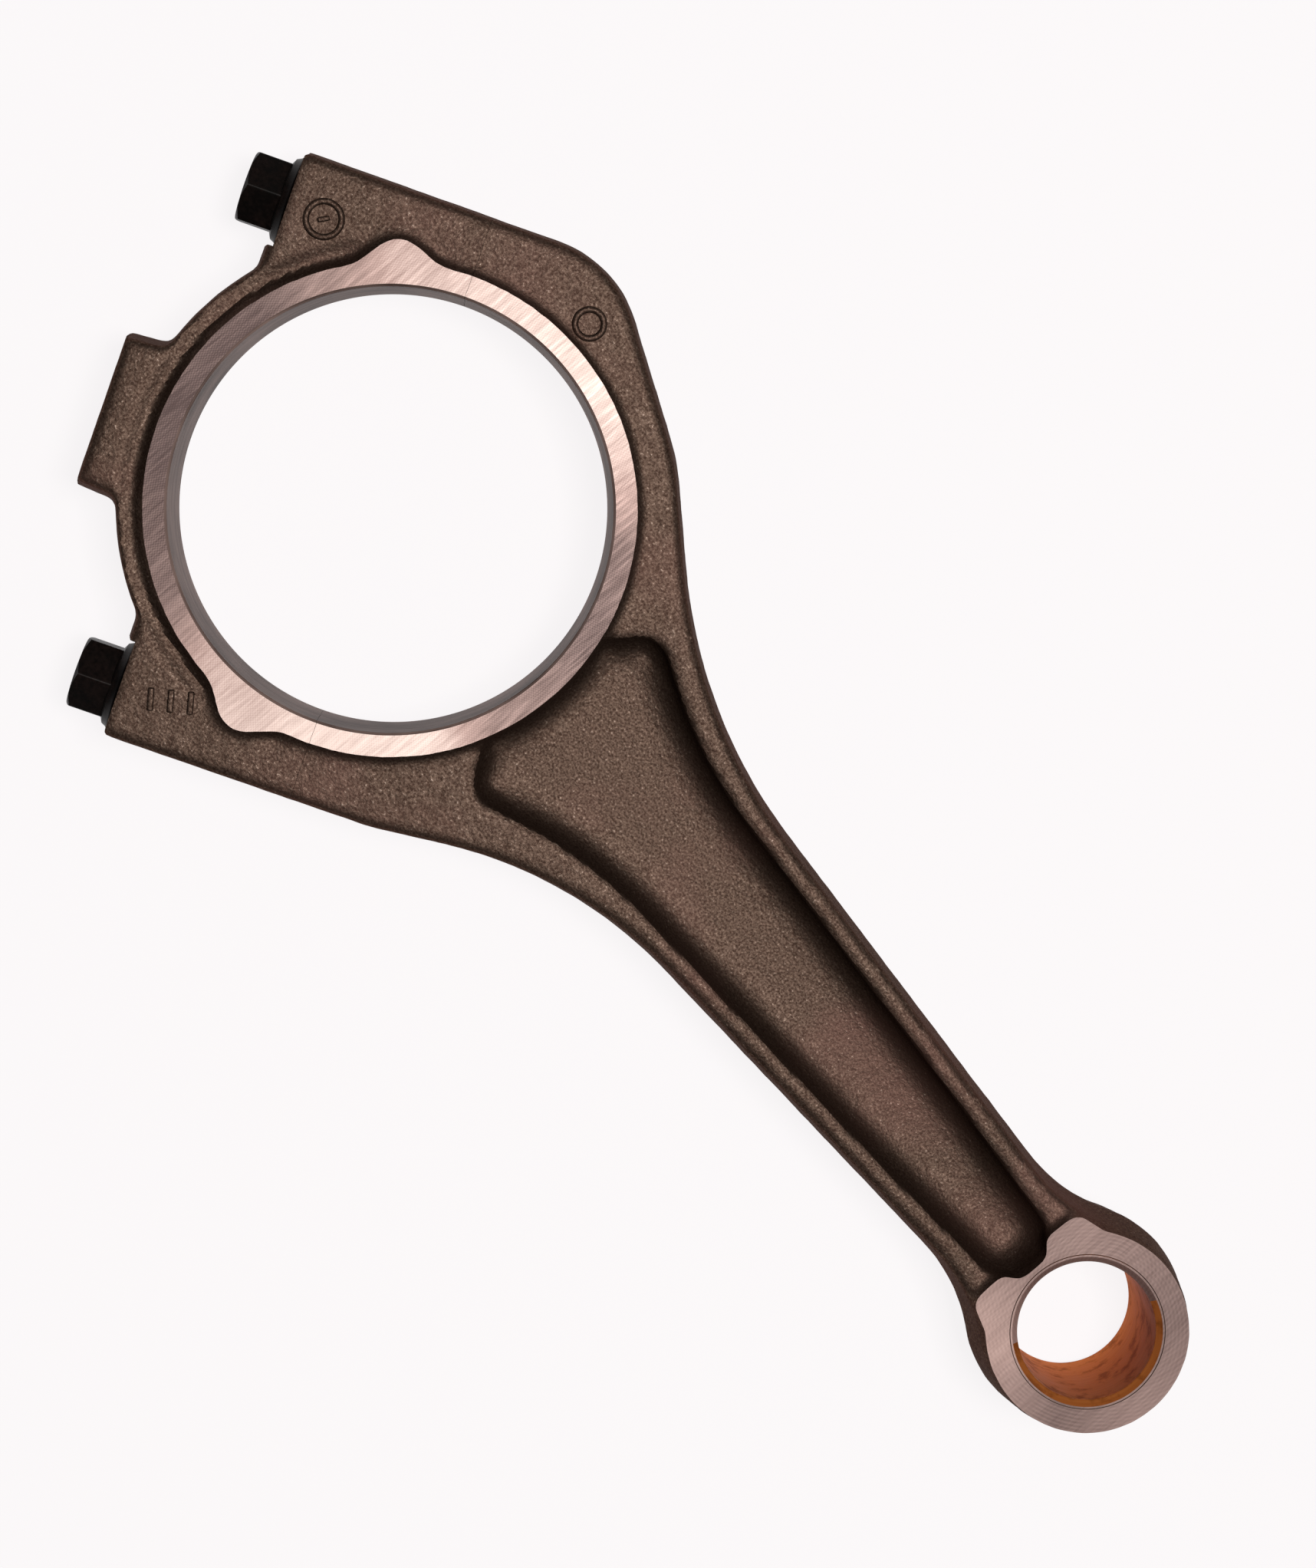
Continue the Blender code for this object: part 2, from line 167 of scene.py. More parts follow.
def fresh(name: str) -> Piece:
    """Name the primitive just added and put its place into its mesh.

    Args:
        name: The new name.

    Returns:
        The primitive, at the origin, unturned and unscaled.
    """
    piece = bpy.context.active_object
    piece.name = name
    piece.data.name = name
    bpy.ops.object.transform_apply(location=True, rotation=True, scale=True)
    return piece


def pick_faces(piece: Piece, wanted: Callable[[bpy.types.MeshPolygon], bool]) -> None:
    """Open a piece in edit mode with the wanted faces selected.

    Args:
        piece: The piece to open.
        wanted: Says of a face whether it is picked.
    """
    take(piece)
    bpy.ops.object.mode_set(mode="EDIT")
    bpy.ops.mesh.select_mode(type="FACE")
    bpy.ops.mesh.select_all(action="DESELECT")
    bpy.ops.object.mode_set(mode="OBJECT")
    for face in piece.data.polygons:
        face.select = wanted(face)
    bpy.ops.object.mode_set(mode="EDIT")


def close_edit() -> None:
    """Go back to object mode."""
    bpy.ops.object.mode_set(mode="OBJECT")


def finish_with(piece: Piece, kind: str, **settings: object) -> None:
    """Add a modifier to a piece and apply it.

    Args:
        piece: The piece to change.
        kind: The modifier's type.
        settings: The modifier's own settings.
    """
    take(piece)
    change = piece.modifiers.new(kind.title(), kind)
    for key, value in settings.items():
        setattr(change, key, value)
    bpy.ops.object.modifier_apply(modifier=change.name)


def work(piece: Piece, tool: Piece, cut: Cut) -> None:
    """Work a solid with another one, which is used up.

    Args:
        piece: The solid that is kept.
        tool: The solid that works on it.
        cut: Whether the tool is joined, removed or kept.
    """
    finish_with(piece, "BOOLEAN", operation=cut.value, solver="MANIFOLD", object=tool)
    bpy.data.objects.remove(tool, do_unlink=True)


def marker(name: str, place: Sequence[float]) -> Piece:
    """Set an empty at a place, for a modifier to work from.

    Args:
        name: The empty's name.
        place: Its place in metres.

    Returns:
        The empty.
    """
    empty = bpy.data.objects.new(name, None)
    empty.location = place
    bpy.context.collection.objects.link(empty)
    bpy.context.view_layer.update()
    return empty


def twin(piece: Piece, name: str) -> Piece:
    """Copy a piece with a mesh of its own.

    Args:
        piece: The piece to copy.
        name: The copy's name.

    Returns:
        The copy.
    """
    copy = piece.copy()
    copy.data = piece.data.copy()
    copy.name = name
    copy.data.name = name
    bpy.context.collection.objects.link(copy)
    return copy


def outward(piece: Piece) -> None:
    """Merge a piece's doubled points and turn all its faces outwards.

    Args:
        piece: The piece to mend.
    """
    pick_faces(piece, lambda face: True)
    bpy.ops.mesh.remove_doubles(threshold=0.002 * MM)
    bpy.ops.mesh.normals_make_consistent(inside=False)
    close_edit()


def smooth_by(piece: Piece, angle: float) -> None:
    """Shade a piece smooth and keep edges above an angle crisp."""
    take(piece)
    bpy.ops.object.shade_smooth_by_angle(angle=math.radians(angle))


def paint(piece: Piece, *finishes: Finish) -> None:
    """Give a piece its finishes, in slot order.

    Args:
        piece: The piece to dress.
        finishes: Its finishes.
    """
    piece.data.materials.clear()
    for finish in finishes:
        piece.data.materials.append(finish)


def hand_over(piece: Piece, carrier: Carrier, replaced: Sequence[str] = ()) -> None:
    """Give a finished piece to the body that carries it.

    Args:
        piece: The finished piece.
        carrier: The body it rides on.
        replaced: CAD nodes that the piece stands for.
    """
    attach(piece, carrier.value)
    if replaced:
        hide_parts(*replaced)
    LOG.info("%s rides on %s, %d faces", piece.name, carrier.value, len(piece.data.polygons))


# ------------------------------------------------------------------ layout


@dataclass(frozen=True)
class Layout:
    """Where the rod's own sketch plane lies in the frame.

    Attributes:
        centre_distance: From crank bore to pin bore.
        width: Over both machined faces.
        split_angle: From the shank to the bolts.
    """

    centre_distance: float = 196.4
    width: float = 30.0
    split_angle: float = 30.4

    @property
    def middle(self) -> float:
        """Height of the rod's middle plane."""
        return self.width / 2

    @cached_property
    def pin_centre(self) -> Vector:
        """Centre of the pin bore in the frame, in metres."""
        low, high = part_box("pin_bush")
        return (low + high) / 2

    @cached_property
    def crank_centre(self) -> Vector:
        """Centre of the crank bore in the frame, in metres."""
        return self.pin_centre - Vector((self.centre_distance * MM, 0.0, 0.0))

    @cached_property
    def along(self) -> Vector:
        """Unit direction of the bolts, from the cap into the rod."""
        turn = math.radians(self.split_angle)
        return Vector((math.cos(turn), math.sin(turn), 0.0))

    @cached_property
    def across(self) -> Vector:
        """Unit direction across the bolts, in the split face."""
        return Vector((-self.along.y, self.along.x, 0.0))

    def spot(self, x: float, y: float, height: float = 0.0) -> Vector:
        """A point of the sketch plane in the frame.

        Args:
            x: Along the shank from the crank bore.
            y: Across the shank.
            height: Above the middle plane.

        Returns:
            The point in metres.
        """
        return self.crank_centre + Vector((x, y, height)) * MM

    def split_spot(self, along: float, across: float, height: float = 0.0) -> Vector:
        """A point given along and across the bolts, in the frame, in metres."""
        place = self.along * along + self.across * across
        return self.spot(place.x, place.y, height)

    def split_corner(self, along: float, across: float, rounding: float = 0.0) -> Corner:
        """A sketch corner (x, y, round) given along and across the bolts."""
        place = self.along * along + self.across * across
        return (place.x, place.y, rounding)


# ---------------------------------------------------------------- outlines


@dataclass(frozen=True)
class Lobe:
    """A smooth swelling on a round outline.

    Attributes:
        angle: Where its middle is.
        height: How far it stands out.
        half_width: Half of its spread, in degrees.
    """

    angle: float
    height: float
    half_width: float


@dataclass(frozen=True)
class Draughtsman:
    """Draws closed outlines in the sketch plane.

    Attributes:
        chord_error: How far a chord may cut inside its arc.
        nearest: Points closer together than this are one point.
    """

    chord_error: float = 0.02
    nearest: float = 0.05

    def chord(self, radius: float) -> float:
        """Angle of the longest chord allowed on an arc, in radians."""
        return 2 * math.acos(1 - self.chord_error / radius)

    def arc(
        self, radius: float, first: float, last: float, centre_x: float = 0.0
    ) -> list[Corner]:
        """Corners without rounds along an arc.

        Args:
            radius: The arc's radius.
            first: The angle it starts at.
            last: The angle it ends at.
            centre_x: Where its centre is along the shank.

        Returns:
            The corners as (x, y, 0).
        """
        count = max(2, math.ceil(abs(last - first) / math.degrees(self.chord(radius))))
        sweep = last - first
        turns = [math.radians(first + sweep * index / count) for index in range(count + 1)]
        return [(centre_x + radius * math.cos(a), radius * math.sin(a), 0.0) for a in turns]

    def rounded(self, corners: Sequence[Corner]) -> list[Spot]:
        """Closed outline through corners, with each one's round as an arc.

        Args:
            corners: The corners as (x, y, round), anticlockwise.

        Returns:
            The outline's points.
        """
        outline: list[Vector] = []
        for index, (x, y, radius) in enumerate(corners):
            here = Vector((x, y))
            if radius == 0.0:
                outline.append(here)
                continue
            before = (Vector(corners[index - 1][:2]) - here).normalized()
            after = (Vector(corners[(index + 1) % len(corners)][:2]) - here).normalized()
            half = before.angle(after) / 2
            centre = here + (before + after).normalized() * (radius / math.sin(half))
            start = here + before * (radius / math.tan(half)) - centre
            turn = math.atan2(after.cross(before), -after.dot(before))
            steps = max(2, math.ceil(abs(turn) / self.chord(radius)))
            for step in range(steps + 1):
                angle = turn * step / steps
                cos, sin = math.cos(angle), math.sin(angle)
                swung = (start.x * cos - start.y * sin, start.x * sin + start.y * cos)
                outline.append(centre + Vector(swung))
        return [
            (point.x, point.y)
            for index, point in enumerate(outline)
            if (point - outline[index - 1]).length > self.nearest
        ]

    def lobed(
        self, centre_x: float, radius: float, lobes: Iterable[Lobe], sides: int
    ) -> list[Spot]:
        """Round outline with lobes on it.

        Args:
            centre_x: Where the circle's centre is along the shank.
            radius: The circle's radius.
            lobes: The swellings.
            sides: The number of points.

        Returns:
            The outline's points.
        """
        outline = []
        for index in range(sides):
            degrees = 360.0 * index / sides
            reach = radius
            for lobe in lobes:
                away = abs((degrees - lobe.angle + 180.0) % 360.0 - 180.0)
                if away < lobe.half_width:
                    reach += lobe.height * 0.5 * (1 + math.cos(math.pi * away / lobe.half_width))
            turn = math.radians(degrees)
            outline.append((centre_x + reach * math.cos(turn), reach * math.sin(turn)))
        return outline


def quarter_round(radius: float, steps: int) -> list[tuple[float, float]]:
    """Steps (inwards, upwards) that round an edge over from wall to top.

    Args:
        radius: The round's radius.
        steps: The number of steps.

    Returns:
        The steps.
    """
    turns = [math.pi / 2 * step / steps for step in range(steps + 1)]
    return [
        (radius * (math.cos(a) - math.cos(b)), radius * (math.sin(b) - math.sin(a)))
        for a, b in zip(turns, turns[1:])
    ]


def plate(layout: Layout, name: str, outline: Sequence[Spot], height: float) -> Piece:
    """Flat plate: a filled circle whose points are laid on an outline.

    Args:
        layout: Where the sketch plane lies.
        name: The plate's name.
        outline: The outline's points, anticlockwise.
        height: The plate's height above the middle plane.

    Returns:
        The plate, facing up.
    """
    drop_selection()
    bpy.ops.mesh.primitive_circle_add(vertices=len(outline), radius=1.0, fill_type="NGON")
    piece = fresh(name)
    for vertex, (x, y) in zip(piece.data.vertices, outline):
        vertex.co = layout.spot(x, y, height)
    piece.data.update()
    return piece


def raise_plate(piece: Piece, steps: Steps) -> None:
    """Raise a plate's face in steps that also draw it in.

    Args:
        piece: The plate.
        steps: The steps as (inwards, upwards).
    """
    pick_faces(piece, lambda face: abs(face.normal.z) > 0.9)
    for inwards, upwards in steps:
        bpy.ops.mesh.inset(
            thickness=inwards * MM, depth=upwards * MM, use_boundary=True, use_even_offset=True
        )
    close_edit()


def mirror_down(piece: Piece, layout: Layout) -> None:
    """Close an open upper half with its mirror image below the middle plane.

    Args:
        piece: The upper half.
        layout: Where the middle plane lies.
    """
    plane = marker("mirror_plane", (0.0, 0.0, layout.middle * MM))
    finish_with(
        piece,
        "MIRROR",
        use_axis=(False, False, True),
        mirror_object=plane,
        use_mirror_merge=True,
        merge_threshold=0.01 * MM,
    )
    bpy.data.objects.remove(plane, do_unlink=True)


def upright_bar(name: str, centre: Vector, radius: float, depth: float, sides: int) -> Piece:
    """Round bar standing along z, closed at both ends.

    Args:
        name: The bar's name.
        centre: Its centre in metres.
        radius: Its radius.
        depth: Its length.
        sides: The number of sides.

    Returns:
        The bar.
    """
    drop_selection()
    bpy.ops.mesh.primitive_cylinder_add(
        vertices=sides, radius=radius * MM, depth=depth * MM, location=centre, end_fill_type="NGON"
    )
    return fresh(name)


def bore_tool(
    layout: Layout, name: str, centre: Vector, radius: float, chamfer: float, sides: int
) -> Piece:
    """Tool for a bore right through the rod, with both mouths flared.

    Args:
        layout: The rod's layout.
        name: The tool's name.
        centre: The bore's centre in metres.
        radius: The bore's radius.
        chamfer: How far each mouth is broken.
        sides: The number of sides.

    Returns:
        The tool.
    """
    past = 2.0
    tool = upright_bar(name, centre, radius, layout.width - 2 * chamfer, sides)
    for up in (1.0, -1.0):
        pick_faces(tool, lambda face: face.normal.z * up > 0.9)
        rise = (chamfer + past) * up * MM
        bpy.ops.mesh.extrude_region_move(TRANSFORM_OT_translate={"value": (0.0, 0.0, rise)})
        flare = (radius + chamfer + past) / radius
        bpy.ops.transform.resize(value=(flare, flare, 1.0), center_override=centre)
        close_edit()
    return tool


# --------------------------------------------------------------- finishes


class Recipe:
    """Lays nodes in a new material and joins them.

    Attributes:
        SHARE: Place of the share among the inputs of a colour mix.
        FIRST: Place of its first colour.
        SECOND: Place of its second colour.
        MIXED: Place of the mixed colour among its outputs.
    """

    SHARE, FIRST, SECOND, MIXED = 0, 6, 7, 2

    def __init__(self, name: str) -> None:
        """Start a material with its shader and its object coordinates.

        Args:
            name: The material's name.
        """
        self.material = bpy.data.materials.new(name)
        self.material.use_nodes = True
        self.tree = self.material.node_tree
        self.shader = self.tree.nodes["Principled BSDF"]
        self.place = self.add("ShaderNodeTexCoord").outputs["Object"]

    def add(self, kind: str, **settings: object) -> bpy.types.Node:
        """Add a node and set its own settings.

        Args:
            kind: The node's type.
            settings: The node's own settings.

        Returns:
            The node.
        """
        node = self.tree.nodes.new(kind)
        for key, value in settings.items():
            setattr(node, key, value)
        return node

    def plug(self, socket: Socket, value: object) -> None:
        """Link another node's output to a socket, or set the socket to a value.

        Args:
            socket: The input to fill.
            value: A value, or another node's output.
        """
        if isinstance(value, Socket):
            self.tree.links.new(value, socket)
        else:
            socket.default_value = value

    def feed(self, node: bpy.types.Node, **inputs: object) -> bpy.types.Node:
        """Set or link a node's inputs, named with _ for a space.

        Args:
            node: The node.
            inputs: A value, or another node's output to link.

        Returns:
            The node.
        """
        for key, value in inputs.items():
            self.plug(node.inputs[key.replace("_", " ")], value)
        return node

    def centred(
        self, centre: Vector, turn: float = 0.0, stretch: Sequence[float] = (1.0, 1.0, 1.0)
    ) -> Socket:
        """Coordinates about a centre, turned about z and stretched.

        Args:
            centre: The new origin in metres.
            turn: Turn about z in degrees.
            stretch: Scale along each axis.

        Returns:
            The vector output.
        """
        moved = self.feed(self.add("ShaderNodeMapping"), Vector=self.place, Location=-centre)
        turned = self.feed(
            self.add("ShaderNodeMapping"),
            Vector=moved.outputs["Vector"],
            Rotation=(0.0, 0.0, math.radians(turn)),
            Scale=tuple(stretch),
        )
        return turned.outputs["Vector"]

    def noise(
        self,
        scale: float,
        detail: float = 2.0,
        vector: Socket | None = None,
        roughness: float = 0.5,
    ) -> Socket:
        """Noise value.

        Args:
            scale: How fine it is, per metre.
            detail: How many finer layers it has.
            vector: Its coordinates, or none for the object's own.
            roughness: How strong the finer layers are.

        Returns:
            The value's output.
        """
        node = self.feed(
            self.add("ShaderNodeTexNoise"),
            Vector=vector or self.place,
            Scale=scale,
            Detail=detail,
            Roughness=roughness,
        )
        return node.outputs["Fac"]

    def ramp(self, value: Socket, stops: Sequence[tuple[float, Sequence[float]]]) -> Socket:
        """Colour looked up along stops.

        Args:
            value: Where to look it up.
            stops: The stops as (position, colour).

        Returns:
            The colour's output.
        """
        node = self.feed(self.add("ShaderNodeValToRGB"), Fac=value)
        bar = node.color_ramp
        while len(bar.elements) < len(stops):
            bar.elements.new(1.0)
        for element, (position, colour) in zip(bar.elements, stops):
            element.position = position
            element.color = (*colour, 1.0)
        return node.outputs["Color"]

    def grey(self, value: Socket, *stops: tuple[float, float]) -> Socket:
        """Number looked up along stops of (position, number)."""
        return self.ramp(value, [(position, (number,) * 3) for position, number in stops])

    def blend(self, share: object, first: object, second: object) -> Socket:
        """Mix two colours.

        Args:
            share: How much of the second, a number or an output.
            first: The first colour or output.
            second: The second colour or output.

        Returns:
            The mixed colour.
        """
        node = self.add("ShaderNodeMix", data_type="RGBA", blend_type="MIX")
        self.plug(node.inputs[self.SHARE], share)
        for index, value in ((self.FIRST, first), (self.SECOND, second)):
            colour = value if isinstance(value, Socket) else (*value, 1.0)
            self.plug(node.inputs[index], colour)
        return node.outputs[self.MIXED]

    def sum(self, first: object, second: object, how: str = "ADD") -> Socket:
        """Arithmetic on two numbers.

        Args:
            first: The first number or output.
            second: The second number or output.
            how: The operation.

        Returns:
            The result's output.
        """
        node = self.add("ShaderNodeMath", operation=how)
        for socket, value in zip(node.inputs, (first, second)):
            self.plug(socket, value)
        return node.outputs[0]

    def bump(self, height: Socket, depth: float, under: Socket | None = None) -> Socket:
        """Surface relief.

        Args:
            height: Its height, from 0 to 1.
            depth: Its depth.
            under: Another relief that it lies on.

        Returns:
            The normal's output.
        """
        node = self.add("ShaderNodeBump")
        self.feed(node, Height=height, Distance=depth * MM, Strength=1.0)
        if under is not None:
            self.feed(node, Normal=under)
        return node.outputs["Normal"]


@dataclass(frozen=True)
class ForgedSkin:
    """Shot-blasted forging scale, brown and grainy.

    Attributes:
        name: The material's name.
        dark: Colour in the grain's hollows.
        light: Colour on its tops.
        rust: Tint of its redder patches.
        spark: Colour of its few bright grains.
    """

    name: str = "forged_skin"
    dark: Colour = (0.043, 0.0245, 0.0180)
    light: Colour = (0.114, 0.078, 0.060)
    rust: Colour = (0.106, 0.056, 0.046)
    spark: Colour = (0.33, 0.26, 0.22)

    def make(self) -> Finish:
        """Build the material.

        Returns:
            The material.
        """
        recipe = Recipe(self.name)
        grain = recipe.noise(2300.0, 3.0, roughness=0.65)
        pits = recipe.noise(1000.0, 2.0)
        drift = recipe.noise(34.0, 3.0)
        body = recipe.ramp(grain, [(0.36, self.dark), (0.66, self.light)])
        rusty = recipe.blend(recipe.grey(drift, (0.48, 0.0), (0.72, 0.55)), body, self.rust)
        sparks = recipe.grey(recipe.noise(2300.0, 1.0), (0.70, 0.0), (0.80, 0.55))
        colour = recipe.blend(sparks, rusty, self.spark)
        relief = recipe.bump(pits, 0.13)
        relief = recipe.bump(grain, 0.07, relief)
        rough = recipe.grey(grain, (0.3, 0.62), (0.7, 0.50))
        recipe.feed(
            recipe.shader,
            Base_Color=colour,
            Roughness=rough,
            Metallic=0.9,
            Specular_Tint=(0.35, 0.28, 0.25, 1.0),
            Normal=relief,
        )
        return recipe.material


@dataclass(frozen=True)
class MilledFace:
    """Face milled with a wide cutter, crossed by two sweeps of fine arcs.

    Attributes:
        name: The material's name.
        centre: The face's centre in metres.
        dim: Colour where the painted reflection is weakest.
        fair: Colour half way.
        bright: Colour where the painted reflection is strongest.
        painted_reflection: Painted highlight round the face as (share of a turn, number).
        sweeps: Where the two cutters' centres lie, as (angle, distance in metres).
        pitch: From one cutter line to the next.
        hatch: How much the cutter lines show.
        streak: How much the grinding streaks show.
        grind: Direction of the streaks.
    """

    name: str
    centre: Sequence[float]
    painted_reflection: Sectors
    dim: Colour = (0.068, 0.037, 0.034)
    fair: Colour = (0.385, 0.258, 0.230)
    bright: Colour = (0.68, 0.54, 0.49)
    sweeps: Sectors = ((38.0, 0.16), (-47.0, 0.16))
    pitch: float = 0.42
    hatch: float = 0.09
    streak: float = 0.45
    grind: float = -58.0

    def make(self) -> Finish:
        """Build the material.

        Returns:
            The material.
        """
        recipe = Recipe(self.name)
        centre = Vector(self.centre)
        sweeps = []
        for degrees, away in self.sweeps:
            turn = math.radians(degrees)
            far = centre + Vector((math.cos(turn), math.sin(turn), 0.0)) * away
            wave = recipe.feed(
                recipe.add(
                    "ShaderNodeTexWave",
                    wave_type="RINGS",
                    rings_direction="Z",
                    wave_profile="SIN",
                ),
                Vector=recipe.centred(far),
                Scale=math.pi / 10 / (self.pitch * MM),
                Distortion=1.2,
                Detail=1.0,
                Detail_Scale=3.0,
            )
            sweeps.append(wave.outputs["Fac"])
        hatch = recipe.sum(sweeps[0], sweeps[1])
        ground = recipe.centred(centre, self.grind, (1.0, 0.07, 1.0))
        scratch = recipe.noise(1900.0, 4.0, ground, 0.7)
        # Painted highlight: the brightness by angle round the centre stands for the reflection of
        # the turned marks.
        round_about = recipe.feed(
            recipe.add("ShaderNodeTexGradient", gradient_type="RADIAL"),
            Vector=recipe.centred(centre),
        )
        wobble = recipe.sum(recipe.noise(60.0, 2.0), 0.5, "SUBTRACT")
        angle = recipe.sum(round_about.outputs["Fac"], recipe.sum(wobble, 0.08, "MULTIPLY"))
        shine = recipe.grey(angle, *self.painted_reflection)
        for pattern, mean, share in ((hatch, 1.0, self.hatch), (scratch, 0.5, self.streak)):
            swing = recipe.sum(recipe.sum(pattern, mean, "SUBTRACT"), share, "MULTIPLY")
            shine = recipe.sum(shine, swing)
        # The colour follows the painted highlight, with the real cutter lines and grinding streaks
        # laid over it.
        colour = recipe.ramp(shine, [(0.0, self.dim), (0.55, self.fair), (1.0, self.bright)])
        relief = recipe.bump(hatch, 0.02 * self.hatch)
        relief = recipe.bump(scratch, 0.012, relief)
        recipe.feed(
            recipe.shader,
            Base_Color=colour,
            Roughness=recipe.grey(scratch, (0.3, 0.60), (0.7, 0.46)),
            Metallic=0.35,
            Normal=relief,
        )
        return recipe.material


@dataclass(frozen=True)
class BoredWall:
    """Turned or honed wall, with fine lines round the bore.

    Attributes:
        name: The material's name.
        dark: Colour in the lines.
        light: Colour between them.
        lines: How many lines there are per metre.
    """

    name: str = "bored_wall"
    dark: Colour = (0.065, 0.043, 0.037)
    light: Colour = (0.24, 0.166, 0.146)
    lines: float = 2600.0

    def make(self) -> Finish:
        """Build the material.

        Returns:
            The material.
        """
        recipe = Recipe(self.name)
        turned = recipe.centred(Vector(), stretch=(26.0, 26.0, self.lines))
        rings = recipe.noise(1.0, 3.0, turned, 0.7)
        blush = recipe.noise(70.0, 3.0)
        shine = recipe.sum(rings, recipe.sum(blush, 0.5, "SUBTRACT"))
        colour = recipe.ramp(shine, [(0.25, self.dark), (0.75, self.light)])
        recipe.feed(
            recipe.shader,
            Base_Color=colour,
            Roughness=recipe.grey(rings, (0.3, 0.62), (0.7, 0.48)),
            Metallic=0.15,
            Specular_IOR_Level=0.06,
            Normal=recipe.bump(rings, 0.01),
        )
        return recipe.material


@dataclass(frozen=True)
class CrackedFace:
    """Bright crystalline break between rod and cap.

    Attributes:
        name: The material's name.
        dark: Colour between the crystals.
        light: Colour of the crystals.
    """

    name: str = "cracked_face"
    dark: Colour = (0.07, 0.062, 0.058)
    light: Colour = (0.34, 0.32, 0.31)

    def make(self) -> Finish:
        """Build the material.

        Returns:
            The material.
        """
        recipe = Recipe(self.name)
        grain = recipe.noise(1400.0, 4.0, roughness=0.75)
        colour = recipe.ramp(grain, [(0.38, self.dark), (0.64, self.light)])
        recipe.feed(
            recipe.shader,
            Base_Color=colour,
            Roughness=0.5,
            Metallic=0.6,
            Normal=recipe.bump(grain, 0.15),
        )
        return recipe.material


@dataclass(frozen=True)
class BlackOxide:
    """Blackened bolt steel, a little lighter where it is handled.

    Attributes:
        name: The material's name.
        deep: Colour of the untouched oxide.
        worn: Colour where it is worn by handling.
    """

    name: str = "black_oxide"
    deep: Colour = (0.0016, 0.0009, 0.0007)
    worn: Colour = (0.010, 0.0056, 0.0047)

    def make(self) -> Finish:
        """Build the material.

        Returns:
            The material.
        """
        recipe = Recipe(self.name)
        grain = recipe.noise(1100.0, 3.0, roughness=0.6)
        smear = recipe.noise(160.0, 3.0)
        share = recipe.grey(recipe.sum(grain, smear, "MULTIPLY"), (0.16, 0.0), (0.42, 1.0))
        recipe.feed(
            recipe.shader,
            Base_Color=recipe.blend(share, self.deep, self.worn),
            Roughness=recipe.grey(smear, (0.3, 0.5), (0.7, 0.38)),
            Metallic=0.2,
            Specular_IOR_Level=0.14,
            Normal=recipe.bump(grain, 0.025),
        )
        return recipe.material


@dataclass(frozen=True)
class Bronze:
    """Bored bronze with turning lines and patches of oil stain.

    Attributes:
        name: The material's name.
        stain: Colour of the patches.
        metal: Colour in the turning lines.
        glow: Colour between them.
    """

    name: str = "bush_bronze"
    stain: Colour = (0.30, 0.080, 0.017)
    metal: Colour = (0.56, 0.160, 0.035)
    glow: Colour = (0.68, 0.215, 0.050)

    def make(self) -> Finish:
        """Build the material.

        Returns:
            The material.
        """
        recipe = Recipe(self.name)
        turned = recipe.centred(Vector(), stretch=(40.0, 40.0, 2200.0))
        rings = recipe.noise(1.0, 3.0, turned, 0.7)
        patches = recipe.noise(240.0, 4.0, roughness=0.6)
        colour = recipe.ramp(rings, [(0.3, self.metal), (0.75, self.glow)])
        colour = recipe.blend(recipe.grey(patches, (0.50, 0.0), (0.64, 0.8)), colour, self.stain)
        recipe.feed(
            recipe.shader,
            Base_Color=colour,
            Roughness=recipe.grey(patches, (0.3, 0.42), (0.7, 0.58)),
            Metallic=0.0,
            Specular_IOR_Level=0.01,
            Normal=recipe.bump(rings, 0.008),
        )
        return recipe.material


@dataclass(frozen=True)
class PaleFloor:
    """Plain matt studio floor that is lit through from below.

    Attributes:
        name: The material's name.
        colour: Its own colour.
        glow: Colour of the light from below.
        strength: Strength of that light.
    """

    name: str = "pale_floor"
    colour: Colour = (0.06, 0.0585, 0.0592)
    glow: Colour = (1.0, 0.975, 0.983)
    strength: float = 0.897

    def make(self) -> Finish:
        """Build the material.

        Returns:
            The material.
        """
        recipe = Recipe(self.name)
        recipe.feed(
            recipe.shader,
            Base_Color=(*self.colour, 1.0),
            Roughness=0.9,
            Emission_Color=(*self.glow, 1.0),
            Emission_Strength=self.strength,
        )
        return recipe.material


# ------------------------------------------------------------ rod and cap


